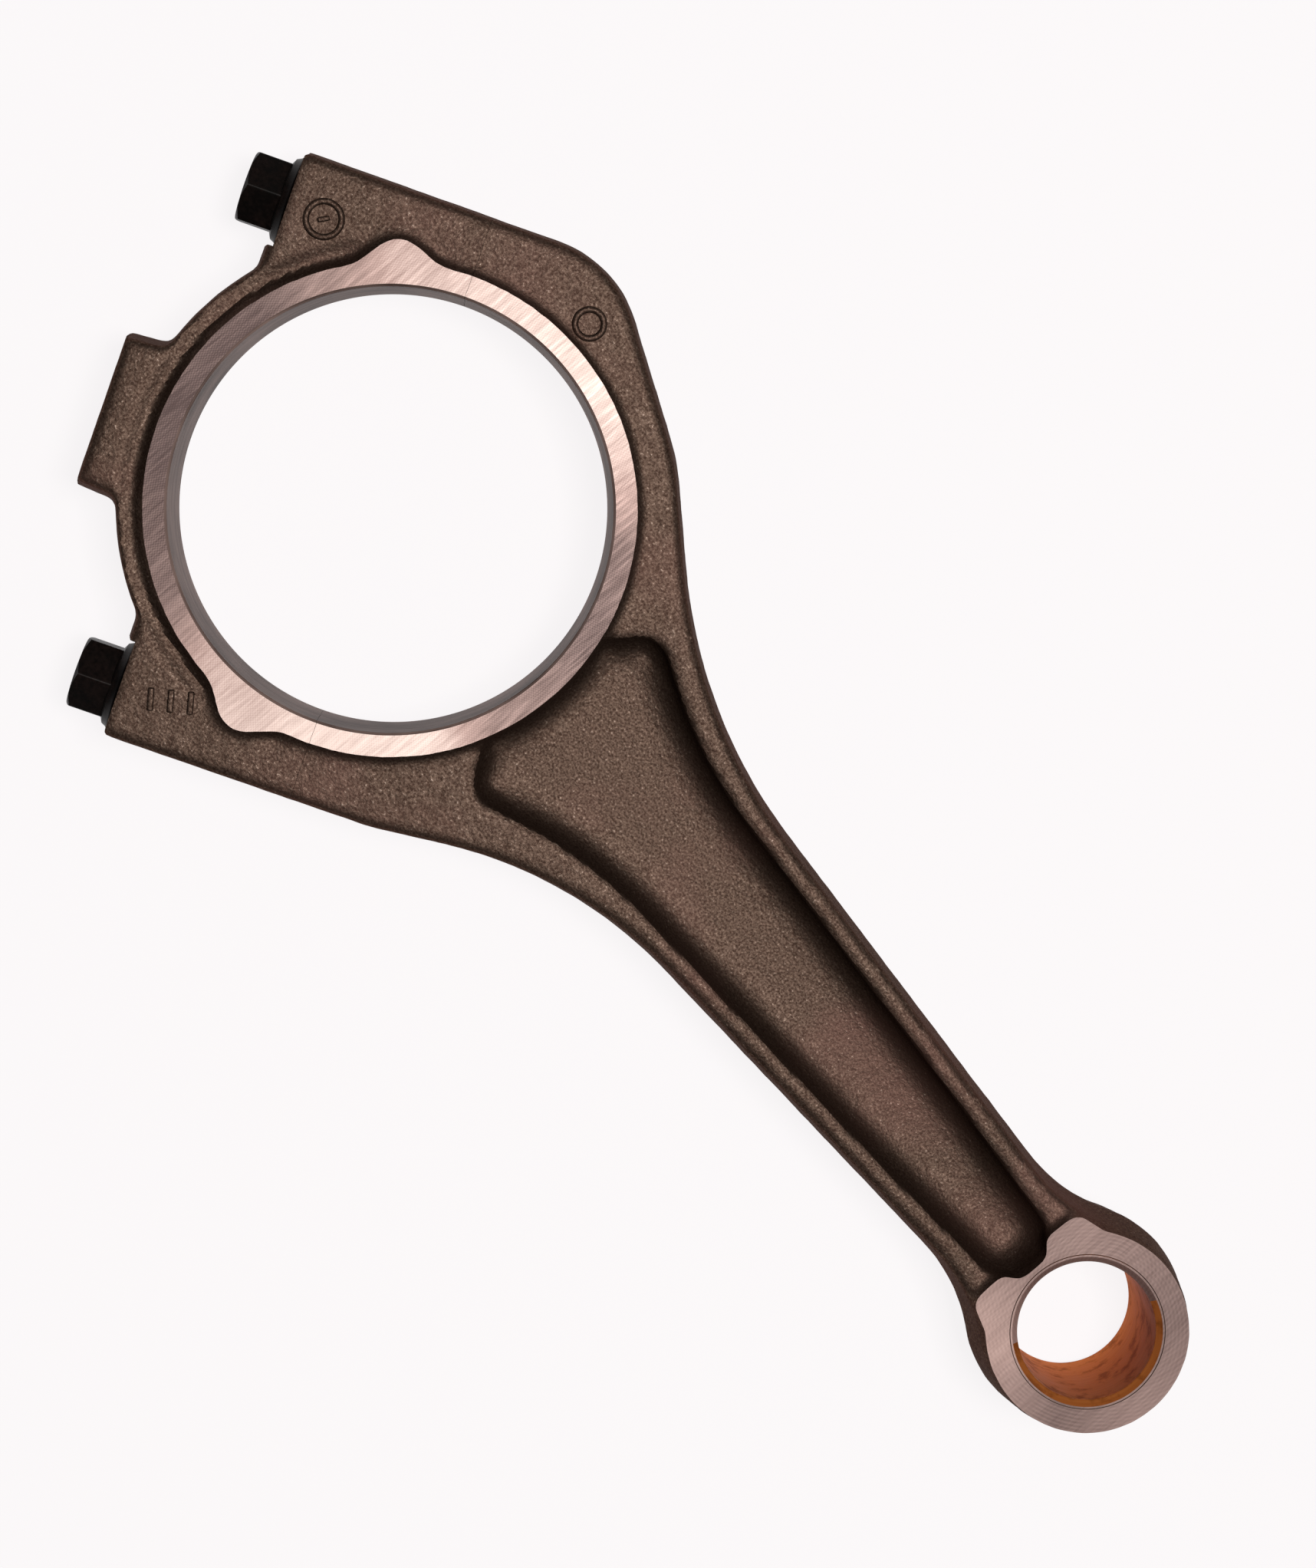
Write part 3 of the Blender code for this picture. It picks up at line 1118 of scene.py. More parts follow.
@dataclass
class Forging:
    """The forging that rod and cap are cut from, and the cuts themselves.

    Attributes:
        layout: The rod's layout.
        pen: Draws the outlines.
        crank_radius: Crank bore.
        crank_chamfer: Break at the crank bore's mouths.
        ring_wall: Width of the machined ring.
        ring_draft: How much wider the ring's wall is at the skin.
        ring_proud: How far the machined faces stand above the skin.
        ring_lobes: The ring's two lobes, from the cap's middle, as (angle, height, half width).
        cap_wall: Thickness of the cap behind the bore.
        bolt_radius: Bolt's nominal radius.
        bolt_clearance: Room between bolt and hole.
        bolt_offset: From the crank bore's centre to a bolt's axis.
        lug_offset: From there to a lug's outer side.
        seat_depth: From the split to the bolts' seats.
        lug_rise: How far a lug stands beyond its seat.
        seat_reach: How far a seat is milled inwards from the bolt's axis.
        lug_corner: Cut across a lug's outer corner.
        hole_depth: How deep the bolts' holes go into the rod.
        pad_rise: How far the weight pad stands out from the cap.
        pad_half_width: Half the pad's width.
        pad_foot: How much wider the pad's foot is.
        foot_spread: How far its foot's round starts beyond its side.
        foot_round: The round at its foot.
        half_width_big: Half the shank's width, carried on to the crank bore's centre.
        half_width_small: Half the shank's width at the small end.
        neck_tangent: Angle on the small end where the shank's side leaves it.
        neck_round: Round between small end and shank.
        upper_reach: From the crank bore to the bend on the upper side.
        upper_round: Round of that bend.
        lower_reach: From the crank bore to the bend on the lower side.
        lower_round: Round of that bend.
        shoulder_wall: From the crank bore to the shoulder's corner.
        shoulder_angle: Angle of the shoulder's corner.
        shoulder_slope: Slope of the shoulder's top.
        shoulder_round: Round of the shoulder's corner.
        crest_round: Round between the shoulder's top and the upper lug.
        belly_reach: From the crank bore to the lower lug's end.
        belly_round: Round of that corner.
        web: Thickness between the two hollows.
        pocket_inset: How far the hollow starts inside the ring's edge.
        pocket_sweep: Half the angle of the hollow's arc round the ring.
        pocket_nose: The hollow's far corner, counted back from the pin bore.
        pocket_flank: The other corners of its side.
        pocket_floor_round: Height of the round between its wall and floor.
        pocket_floor_reach: Width of that round.
        dip_width: Width of the dip round the ring on the cap.
        dip_depth: Depth of that dip.
        draft: Lean of the forged walls.
        edge_round: Round along the forging's top edge.
        eye_face: Radius of the small end's machined face.
        eye_radius: Radius of the small end.
        eye_bore: Radius of its bore, round the bush.
        eye_chamfer: Break at that bore's mouths.
        ear_reach: From the pin bore to the ears' tips.
        ear_half_width: From the shank's axis to the ears' outer sides.
        ear_notch: From the pin bore to the notch between the ears.
        voxel: Fineness of the forging's skin.
        soften: How often the skin is smoothed.
        hollow_soften: How often the hollows are smoothed.
        foot_soften: How often the dip is smoothed.
        relief: Depth of the skin's waviness.
        wave_size: Size of the waves.
        crack_gap: Opening of the crack between rod and cap.
        crack_relief: Roughness of the crack.
        over: How far the bosses are forged too high, to be milled off.
    """

    layout: Layout
    pen: Draughtsman = field(default_factory=Draughtsman)
    crank_radius: float = 40.0
    crank_chamfer: float = 0.45
    ring_wall: float = 4.3
    ring_draft: float = 0.9
    ring_proud: float = 1.5
    ring_lobes: tuple[float, float, float] = (72.5, 4.2, 12.0)
    cap_wall: float = 10.5
    bolt_radius: float = 4.0
    bolt_clearance: float = 0.3
    bolt_offset: float = 46.8
    lug_offset: float = 56.5
    seat_depth: float = 35.4
    lug_rise: float = 2.4
    seat_reach: float = 9.25
    lug_corner: float = 2.2
    hole_depth: float = 26.6
    pad_rise: float = 5.6
    pad_half_width: float = 14.8
    pad_foot: float = 2.6
    foot_spread: float = 0.5
    foot_round: float = 1.6
    half_width_big: float = 22.0
    half_width_small: float = 12.5
    neck_tangent: float = 120.0
    neck_round: float = 32.0
    upper_reach: float = 25.5
    upper_round: float = 95.0
    lower_reach: float = 32.6
    lower_round: float = 82.0
    shoulder_wall: float = 13.2
    shoulder_angle: float = 59.4
    shoulder_slope: float = -0.43
    shoulder_round: float = 40.0
    crest_round: float = 22.0
    belly_reach: float = 2.0
    belly_round: float = 40.0
    web: float = 11.0
    pocket_inset: float = 0.3
    pocket_sweep: float = 18.0
    pocket_nose: Corner = (15.6, 6.8, 5.7)
    pocket_flank: tuple[Corner, ...] = ((150.0, 9.2, 60.0), (71.0, 13.5, 85.0), (48.6, 22.9, 5.4))
    pocket_floor_round: float = 6.4
    pocket_floor_reach: float = 4.5
    dip_width: float = 3.6
    dip_depth: float = 2.2
    draft: float = 6.0
    edge_round: float = 1.3
    eye_face: float = 18.6
    eye_radius: float = 20.5
    eye_bore: float = 14.3
    eye_chamfer: float = 0.08
    ear_reach: float = 18.2
    ear_half_width: float = 12.5
    ear_notch: float = 15.2
    voxel: float = 0.85
    soften: int = 4
    hollow_soften: int = 45
    foot_soften: int = 10
    relief: float = 0.16
    wave_size: float = 3.2
    crack_gap: float = 0.06
    crack_relief: float = 0.5
    over: float = 1.6

    @property
    def cap_radius(self) -> float:
        """Outer radius of the cap's band."""
        return self.crank_radius + self.cap_wall

    @property
    def skin(self) -> float:
        """Height of the forged skin above the middle plane."""
        return self.layout.middle - self.ring_proud

    @property
    def lug_depth(self) -> float:
        """Depth of the lugs' unmachined faces along the bolts."""
        return self.seat_depth + self.lug_rise

    @property
    def facing(self) -> float:
        """Angle from the shank to the middle of the cap."""
        return 180.0 + self.layout.split_angle

    @property
    def lean(self) -> float:
        """How far a forged wall leans in per millimetre of its height."""
        return math.tan(math.radians(self.draft))

    @cached_property
    def finishes(self) -> list[Finish]:
        """The finishes of rod and cap, in the order of Cover.

        Returns:
            One material for each slot.
        """
        ring_centre, eye_centre = tuple(self.layout.crank_centre), tuple(self.layout.pin_centre)
        return [
            ForgedSkin().make(),
            MilledFace("big_end_ring_painted_sheen", ring_centre, RING_PAINTED_SHEEN).make(),
            MilledFace(
                "small_end_painted_sheen",
                eye_centre,
                EYE_PAINTED_SHEEN,
                sweeps=((0.0, 0.0), (120.0, 0.012)),
                pitch=0.7,
                hatch=0.05,
                streak=0.12,
            ).make(),
            BoredWall().make(),
            CrackedFace().make(),
        ]

    def half_width(self, x: float) -> float:
        """Half the shank's width at a place along it."""
        share = x / (self.layout.centre_distance - self.eye_radius)
        return self.half_width_big + (self.half_width_small - self.half_width_big) * share

    def outline(self) -> list[Spot]:
        """Outline of the whole forging at its middle plane.

        Returns:
            The outline's points.
        """
        neck_x, neck_width = self.neck()
        slope = self.layout.along.y / self.layout.along.x
        at_zero = self.lug_offset / self.layout.along.x
        upper, lower = self.crank_radius + self.upper_reach, self.crank_radius + self.lower_reach
        belly_x = self.crank_radius + self.belly_reach
        corner, turn = self.crank_radius + self.shoulder_wall, math.radians(self.shoulder_angle)
        top_x, top_y = corner * math.cos(turn), corner * math.sin(turn)
        crest_x = (top_y - self.shoulder_slope * top_x - at_zero) / (slope - self.shoulder_slope)
        return self.pen.rounded(
            [
                *self.eye_corners(),
                (neck_x, neck_width, self.neck_round),
                (upper, self.half_width(upper), self.upper_round),
                (top_x, top_y, self.shoulder_round),
                (crest_x, at_zero + slope * crest_x, self.crest_round),
                *self.cap_corners(),
                (belly_x, slope * belly_x - at_zero, self.belly_round),
                (lower, -self.half_width(lower), self.lower_round),
                (neck_x, -neck_width, self.neck_round),
            ]
        )

    def eye_corners(self) -> list[Corner]:
        """Corners whose rounds make the small end's outline.

        Returns:
            The corners as (x, y, round).
        """
        quarter = math.radians(self.neck_tangent) / 4
        reach = self.eye_radius / math.cos(quarter)
        return [
            (
                self.layout.centre_distance + reach * math.cos(step * quarter),
                reach * math.sin(step * quarter),
                self.eye_radius,
            )
            for step in (-3, -1, 1, 3)
        ]

    def neck(self) -> Spot:
        """Where the shank's upper side meets the small end's tangent.

        Returns:
            The point, along and across the shank.
        """
        tangent = math.radians(self.neck_tangent)
        width = self.half_width(self.layout.centre_distance - self.eye_radius)
        run = (self.eye_radius * math.sin(tangent) - width) * math.tan(tangent)
        return self.layout.centre_distance + self.eye_radius * math.cos(tangent) + run, width

    def cap_corners(self) -> list[Corner]:
        """Corners of the cap, from the upper lug round the weight pad to the lower lug.

        Returns:
            The corners as (x, y, round).
        """
        corner, radius, half_width = self.layout.split_corner, self.cap_radius, self.pad_half_width
        lug_start = math.degrees(math.acos(self.lug_depth / radius))
        pad_start = math.degrees(math.asin((half_width + self.pad_foot) / radius))
        foot_width = half_width + self.foot_spread
        foot = -math.sqrt(radius**2 - foot_width**2)
        pad, lug, cut = -radius - self.pad_rise, -self.lug_depth, self.lug_corner
        return [
            corner(cut + lug, self.lug_offset),
            corner(lug, self.lug_offset - cut),
            *self.pen.arc(radius, self.facing - lug_start, self.facing - pad_start),
            corner(foot, foot_width, self.foot_round),
            corner(pad, half_width),
            corner(pad, -half_width),
            corner(foot, -foot_width, self.foot_round),
            *self.pen.arc(radius, self.facing + pad_start, self.facing + lug_start),
            corner(lug, cut - self.lug_offset),
            corner(cut + lug, -self.lug_offset),
        ]

    def pocket(self) -> list[Spot]:
        """Outline of the shank's hollow at the skin.

        Returns:
            The outline's points.
        """
        near = self.crank_radius + self.ring_wall - self.pocket_inset
        back, across, rounding = self.pocket_nose
        side = [(self.layout.centre_distance - back, across, rounding), *self.pocket_flank]
        corners = [*side, *self.pen.arc(near, self.pocket_sweep, -self.pocket_sweep)]
        corners += [(x, -y, rounding) for x, y, rounding in reversed(side)]
        return self.pen.rounded(corners)

    def ring_outline(self, spread: float = 0.0) -> list[Spot]:
        """Outline of the machined ring with its two lobes, spread outwards at its foot.

        Args:
            spread: How far it is spread.

        Returns:
            The outline's points.
        """
        angle, height, half_width = self.ring_lobes
        lobes = [Lobe(self.facing + turn, height, half_width) for turn in (-angle, angle)]
        return self.pen.lobed(0.0, self.crank_radius + self.ring_wall + spread, lobes, 240)

    def eye_outline(self) -> list[Spot]:
        """Outline of the small end's machined face with its two ears.

        Returns:
            The outline's points.
        """
        centre_x = self.layout.centre_distance
        tip_x, tip_y = centre_x - self.ear_reach, self.ear_half_width
        notch = centre_x - self.ear_notch
        upper = [(tip_x + 0.5, tip_y, 2.4), (tip_x, 5.2, 1.8), (notch, 3.2, 2.2)]
        corners = self.pen.arc(self.eye_face, -130.0, 130.0, centre_x) + upper
        corners += [(x, -y, rounding) for x, y, rounding in reversed(upper)]
        return self.pen.rounded(corners)

    def block_out(self) -> Piece:
        """Forge the blank: drafted body, bosses and hollows, with soft edges.

        Returns:
            The blank, a little too high at its bosses.
        """
        layout = self.layout
        straight = self.skin - self.edge_round
        blank = plate(layout, "forging", self.outline(), 0.0)
        raise_plate(blank, [(straight * self.lean, straight), *quarter_round(self.edge_round, 5)])
        mirror_down(blank, layout)
        outward(blank)
        for name in ("hollow_above", "hollow_below"):
            hollow = self.hollow_tool(name)
            if name == "hollow_below":
                self.turn_over(hollow)
            outward(hollow)
            work(blank, hollow, Cut.REMOVE)

        top = layout.middle + self.over
        foot = self.skin - self.dip_depth - 1.0
        lean_in = self.ring_draft * (top - foot) / (layout.middle - foot)
        ring = plate(layout, "ring_boss", self.ring_outline(self.ring_draft), 0.0)
        raise_plate(ring, [(0.0, foot), (lean_in, top - foot)])
        eye = plate(layout, "eye_boss", self.eye_outline(), top)
        self.widen_down(eye, top)
        for boss in (ring, eye):
            mirror_down(boss, layout)
            outward(boss)
            work(blank, boss, Cut.JOIN)
        LOG.info("forging blocked out, bosses %.1f mm above the skin", top - self.skin)
        return blank

    def hollow_tool(self, name: str) -> Piece:
        """Cutter for the shank's hollow, with a wide round between its wall and floor.

        Args:
            name: The cutter's name.

        Returns:
            The cutter, for the upper side.
        """
        lid_height = 3.0
        fall = self.skin - self.web / 2 - self.pocket_floor_round
        steps = [(0.3, -lid_height), (fall * self.lean, -fall)]
        steps += [
            (inwards * self.pocket_floor_reach, -upwards * self.pocket_floor_round)
            for inwards, upwards in quarter_round(1.0, 7)
        ]
        hollow = plate(self.layout, name, self.pocket(), self.skin + lid_height)
        self.sink(hollow, steps)
        return hollow

    def sink(self, hollow: Piece, steps: Steps) -> None:
        """Close a plate's top and sink its face in steps, as a cutter for a hollow.

        Args:
            hollow: The plate, facing up.
            steps: The steps as (inwards, upwards).
        """
        lid = twin(hollow, hollow.name + "_lid")
        raise_plate(hollow, steps)
        take(hollow)
        lid.select_set(True)
        bpy.ops.object.join()

    def widen_down(self, piece: Piece, top: float) -> None:
        """Give the eye's boss its leaning side, down to the middle plane.

        Args:
            piece: The plate at the boss's top.
            top: The plate's height above the middle plane.
        """
        centre = self.layout.spot(self.layout.centre_distance, 0.0, 0.0)
        spread = (self.eye_radius - 0.1) / self.eye_face
        pick_faces(piece, lambda face: True)
        bpy.ops.mesh.extrude_region_move(TRANSFORM_OT_translate={"value": (0.0, 0.0, -top * MM)})
        bpy.ops.transform.resize(value=(spread, spread, 1.0), center_override=centre)
        bpy.ops.mesh.delete(type="ONLY_FACE")
        close_edit()

    def turn_over(self, piece: Piece) -> None:
        """Mirror a tool to below the middle plane.

        Args:
            piece: The tool.
        """
        take(piece)
        bpy.ops.object.mode_set(mode="EDIT")
        bpy.ops.mesh.select_all(action="SELECT")
        bpy.ops.transform.resize(value=(1.0, 1.0, -1.0), center_override=self.layout.spot(0.0, 0.0))
        close_edit()

    def skin_over(self, blank: Piece) -> None:
        """Turn the blank into one even skin with soft corners and a faint waviness.

        Args:
            blank: The blocked-out forging.
        """
        finish_with(
            blank, "REMESH", mode="VOXEL", voxel_size=self.voxel * MM, use_smooth_shade=True
        )
        self.soften_hollows(blank)
        self.dip(blank)
        finish_with(blank, "SMOOTH", factor=0.5, iterations=self.soften)
        waves = bpy.data.textures.new("forging_waves", "CLOUDS")
        waves.noise_scale = self.wave_size * MM
        waves.noise_depth = 2
        finish_with(
            blank,
            "DISPLACE",
            texture=waves,
            texture_coords="GLOBAL",
            strength=self.relief * MM,
            mid_level=0.8,
        )
        LOG.info("forging skinned with %d faces", len(blank.data.polygons))

    def soften_hollows(self, blank: Piece) -> None:
        """Smooth the walls and floors of the shank's two hollows, but not their rims.

        Args:
            blank: The skinned blank.
        """
        rim_depth, blend_depth, rim_width, steepest = 1.6, 1.5, 1.2, 0.1
        layout = self.layout
        hollow = blank.vertex_groups.new(name="hollow")
        middle, below = layout.middle * MM, (self.skin - rim_depth) * MM
        start, end = layout.spot(self.crank_radius + self.ring_wall + 0.4, 0.0), layout.pin_centre
        for vertex in blank.data.vertices:
            depth = below - abs(vertex.co.z - middle)
            inside = start.x < vertex.co.x < end.x and abs(vertex.normal.z) > steepest
            if depth > 0.0 and inside:
                inner = self.half_width((vertex.co.x - layout.crank_centre.x) / MM) - rim_width
                if abs(vertex.co.y - start.y) < inner * MM:
                    hollow.add([vertex.index], min(1.0, depth / (blend_depth * MM)), "REPLACE")
        finish_with(
            blank, "SMOOTH", factor=0.5, iterations=self.hollow_soften, vertex_group="hollow"
        )

    def dip(self, blank: Piece) -> None:
        """Let the cap's skin dip where it meets the ring, as the dies leave it.

        Args:
            blank: The skinned blank.
        """
        from_split, blend_in = 3.0, 9.0
        centre, along = self.layout.crank_centre, self.layout.along
        middle = self.layout.middle * MM
        edge = (self.crank_radius + self.ring_wall + self.ring_draft) * MM
        foot = blank.vertex_groups.new(name="foot")
        for vertex in blank.data.vertices:
            offset = vertex.co - centre
            reach = (math.hypot(offset.x, offset.y) - edge) / MM
            rise = vertex.co.z - middle
            if not -1.0 < reach < self.dip_width:
                continue
            if not self.skin - 4.0 < abs(rise) / MM < self.skin + 0.4:
                continue
            share = min(1.0, max(0.0, (-offset.dot(along) / MM - from_split) / blend_in))
            share *= min(1.0, max(0.0, abs(vertex.normal.z) * 1.6 - 0.3))
            fall = 0.5 + 0.5 * math.cos(math.pi * max(0.0, reach) / self.dip_width)
            vertex.co.z -= math.copysign(self.dip_depth * share * fall * MM, rise)
            foot.add([vertex.index], min(1.0, share * 2.0), "REPLACE")
        finish_with(blank, "SMOOTH", factor=0.5, iterations=self.foot_soften, vertex_group="foot")

    def machine(self, blank: Piece) -> None:
        """Mill both faces, bore both ends, face the seats and drill for the bolts.

        Args:
            blank: The skinned forging.
        """
        layout = self.layout
        drop_selection()
        bpy.ops.mesh.primitive_cube_add(
            size=1.0, location=layout.spot(70.0, 0.0), scale=(0.4, 0.3, layout.width * MM)
        )
        work(blank, fresh("face_stock"), Cut.KEEP)
        for name, centre, radius, chamfer, sides in (
            ("crank_tool", layout.crank_centre, self.crank_radius, self.crank_chamfer, 256),
            ("eye_tool", layout.pin_centre, self.eye_bore, self.eye_chamfer, 160),
        ):
            work(blank, bore_tool(layout, name, centre, radius, chamfer, sides), Cut.REMOVE)
        for side in Side:
            work(blank, self.seat_tool(side), Cut.REMOVE)
            work(blank, self.drill(side), Cut.REMOVE)

    def seat_tool(self, side: Side) -> Piece:
        """Milling tool that faces a lug for the bolt's flange.

        Args:
            side: Which lug it faces.

        Returns:
            The tool.
        """
        layout = self.layout
        inner = self.bolt_offset - self.seat_reach
        outer = self.lug_offset + 4.0
        depth = self.lug_rise + 6.0
        centre = layout.split_spot(-self.seat_depth - depth / 2, side.value * (inner + outer) / 2)
        drop_selection()
        bpy.ops.mesh.primitive_cube_add(
            size=1.0,
            location=centre,
            rotation=(0.0, 0.0, math.radians(layout.split_angle)),
            scale=(depth * MM, (outer - inner) * MM, (layout.width + 4.0) * MM),
        )
        return fresh("seat_tool")

    def drill(self, side: Side) -> Piece:
        """Drill for a bolt, from the lug's face into the rod.

        Args:
            side: Which bolt it is for.

        Returns:
            The drill.
        """
        layout = self.layout
        first, last = -self.lug_depth - 4.0, self.hole_depth
        drop_selection()
        bpy.ops.mesh.primitive_cylinder_add(
            vertices=48,
            radius=(self.bolt_radius + self.bolt_clearance) * MM,
            depth=(last - first) * MM,
            location=layout.split_spot((first + last) / 2, side.value * self.bolt_offset),
            rotation=(0.0, math.pi / 2, math.radians(layout.split_angle)),
        )
        return fresh("drill")

    def crack_tool(self, offset: float) -> Piece:
        """Block over the cap's half, its face broken like the real crack.

        Args:
            offset: How far along the bolts the broken face lies.

        Returns:
            The block.
        """
        layout = self.layout
        drop_selection()
        bpy.ops.mesh.primitive_grid_add(
            x_subdivisions=36,
            y_subdivisions=150,
            size=1.0,
            location=layout.split_spot(offset, 0.0),
            rotation=(0.0, math.pi / 2, math.radians(layout.split_angle)),
        )
        tool = bpy.context.active_object
        tool.scale = (0.036, 0.150, 1.0)
        tool = fresh("crack_tool")
        grit = bpy.data.textures.new("crack_grit", "CLOUDS")
        grit.noise_scale = 2.4 * MM
        grit.noise_depth = 3
        anchor = marker("crack_anchor", layout.along * (offset * MM))
        finish_with(
            tool,
            "DISPLACE",
            texture=grit,
            texture_coords="OBJECT",
            texture_coords_object=anchor,
            strength=self.crack_relief * MM,
            mid_level=0.5,
        )
        bpy.data.objects.remove(anchor, do_unlink=True)
        pick_faces(tool, lambda face: True)
        thickness = tuple(layout.along * -0.08)
        bpy.ops.mesh.extrude_region_move(TRANSFORM_OT_translate={"value": thickness})
        close_edit()
        outward(tool)
        return tool

    def split(self, blank: Piece) -> tuple[Piece, Piece]:
        """Crack the machined forging into rod and cap.

        Args:
            blank: The machined forging, which becomes the rod.

        Returns:
            The rod and the cap.
        """
        cap = twin(blank, "forged_cap")
        work(cap, self.crack_tool(-self.crack_gap / 2), Cut.KEEP)
        work(blank, self.crack_tool(self.crack_gap / 2), Cut.REMOVE)
        blank.name = blank.data.name = "forged_rod"
        return blank, cap

    def dress(self, piece: Piece) -> None:
        """Give each face of rod or cap its finish by place and direction.

        Args:
            piece: The rod or the cap.
        """
        paint(piece, *self.finishes)
        for face in piece.data.polygons:
            face.material_index = self.cover(face)
        smooth_by(piece, 32.0)

    def cover(self, face: bpy.types.MeshPolygon) -> Cover:
        """Which finish a face of rod or cap has.

        Args:
            face: The face.

        Returns:
            Its material slot.
        """
        layout, near = self.layout, 0.02
        centre, normal = face.center, face.normal
        from_crank = (centre - layout.crank_centre).xy.length / MM
        from_pin = (centre - layout.pin_centre).xy.length / MM
        reach = (centre - layout.crank_centre).dot(layout.along) / MM
        facing = abs(normal.dot(layout.along))
        if abs(normal.z) > 0.98 and not near * MM < centre.z < (layout.width - near) * MM:
            return Cover.RING if from_crank < from_pin else Cover.EYE
        crank_wall = self.crank_radius + self.crank_chamfer + 0.05
        if from_crank < crank_wall or from_pin < self.eye_bore + 0.6:
            return Cover.BORE
        if abs(reach + self.seat_depth) < near and facing > 0.98:
            return Cover.BORE
        if abs(reach) < 0.6 and facing > 0.6:
            return Cover.CRACK
        return Cover.SKIN

    def build(self) -> None:
        """Make rod and cap and hand them to their bodies."""
        blank = self.block_out()
        self.skin_over(blank)
        self.machine(blank)
        rod, cap = self.split(blank)
        self.dress(rod)
        self.dress(cap)
        hand_over(rod, Carrier.ROD, ["rod"])
        hand_over(cap, Carrier.CAP, ["big_end_cap"])


@dataclass
class ForgingMarks:
    """Plain raised marks left by the dies: a hoop with a pip, a hoop, and three bars.

    Attributes:
        layout: The rod's layout.
        skin: Height of the forged skin above the middle plane.
        finish: The forging's finish.
        height: How far a pip or bar stands above the skin.
        cord: Half the thickness of a hoop.
        bar_step: From one bar to the next, along and across the shank.
    """

    layout: Layout
    skin: float
    finish: Finish
    height: float = 0.75
    cord: float = 0.6
    bar_step: Spot = (2.592, 2.484)

    def hoop(self, name: str, centre: Vector, radius: float) -> Piece:
        """Raised hoop, half sunk in the skin.

        Args:
            name: The hoop's name.
            centre: Its centre in metres.
            radius: Its radius.

        Returns:
            The hoop.
        """
        drop_selection()
        bpy.ops.mesh.primitive_torus_add(
            location=centre,
            major_radius=radius * MM,
            minor_radius=self.cord * MM,
            major_segments=64,
            minor_segments=12,
        )
        return self.finish_off(fresh(name))

    def pip(self, name: str, centre: Vector, length: float, width: float, turn: float) -> Piece:
        """Raised pip or bar with rounded corners.

        Args:
            name: The pip's name.
            centre: Its centre in metres.
            length: Its length.
            width: Its width.
            turn: Its turn about z in degrees.

        Returns:
            The pip.
        """
        drop_selection()
        bpy.ops.mesh.primitive_cube_add(
            size=1.0,
            location=centre,
            rotation=(0.0, 0.0, math.radians(turn)),
            scale=(length * MM, width * MM, 2 * self.height * MM),
        )
        piece = fresh(name)
        finish_with(piece, "BEVEL", width=0.3 * MM, segments=3, limit_method="NONE")
        return self.finish_off(piece)

    def finish_off(self, piece: Piece) -> Piece:
        """Shade and dress a mark.

        Args:
            piece: The mark.

        Returns:
            The same mark.
        """
        paint(piece, self.finish)
        smooth_by(piece, 50.0)
        return piece

    def build(self) -> None:
        """Make the marks and hand them to their bodies."""
        layout = self.layout
        upper = layout.split_spot(-28.4, 45.1, self.skin)
        hand_over(self.hoop("cap_mark_hoop", upper, 3.2), Carrier.CAP)
        hand_over(self.pip("cap_mark_pip", upper, 2.2, 0.9, 60.0), Carrier.CAP)
        shoulder = layout.spot(-2.45, 48.85, self.skin)
        hand_over(self.hoop("shoulder_mark_hoop", shoulder, 2.6), Carrier.ROD)
        step_x, step_y = self.bar_step
        for number in (1, 2, 3):
            steps = number - 2
            centre = layout.spot(0.65 + steps * step_x, -52.3 + steps * step_y, self.skin)
            bar = self.pip(f"cap_mark_bar_{number}", centre, 4.2, 1.1, -45.0)
            hand_over(bar, Carrier.CAP)


# ------------------------------------------------------------------- bolts


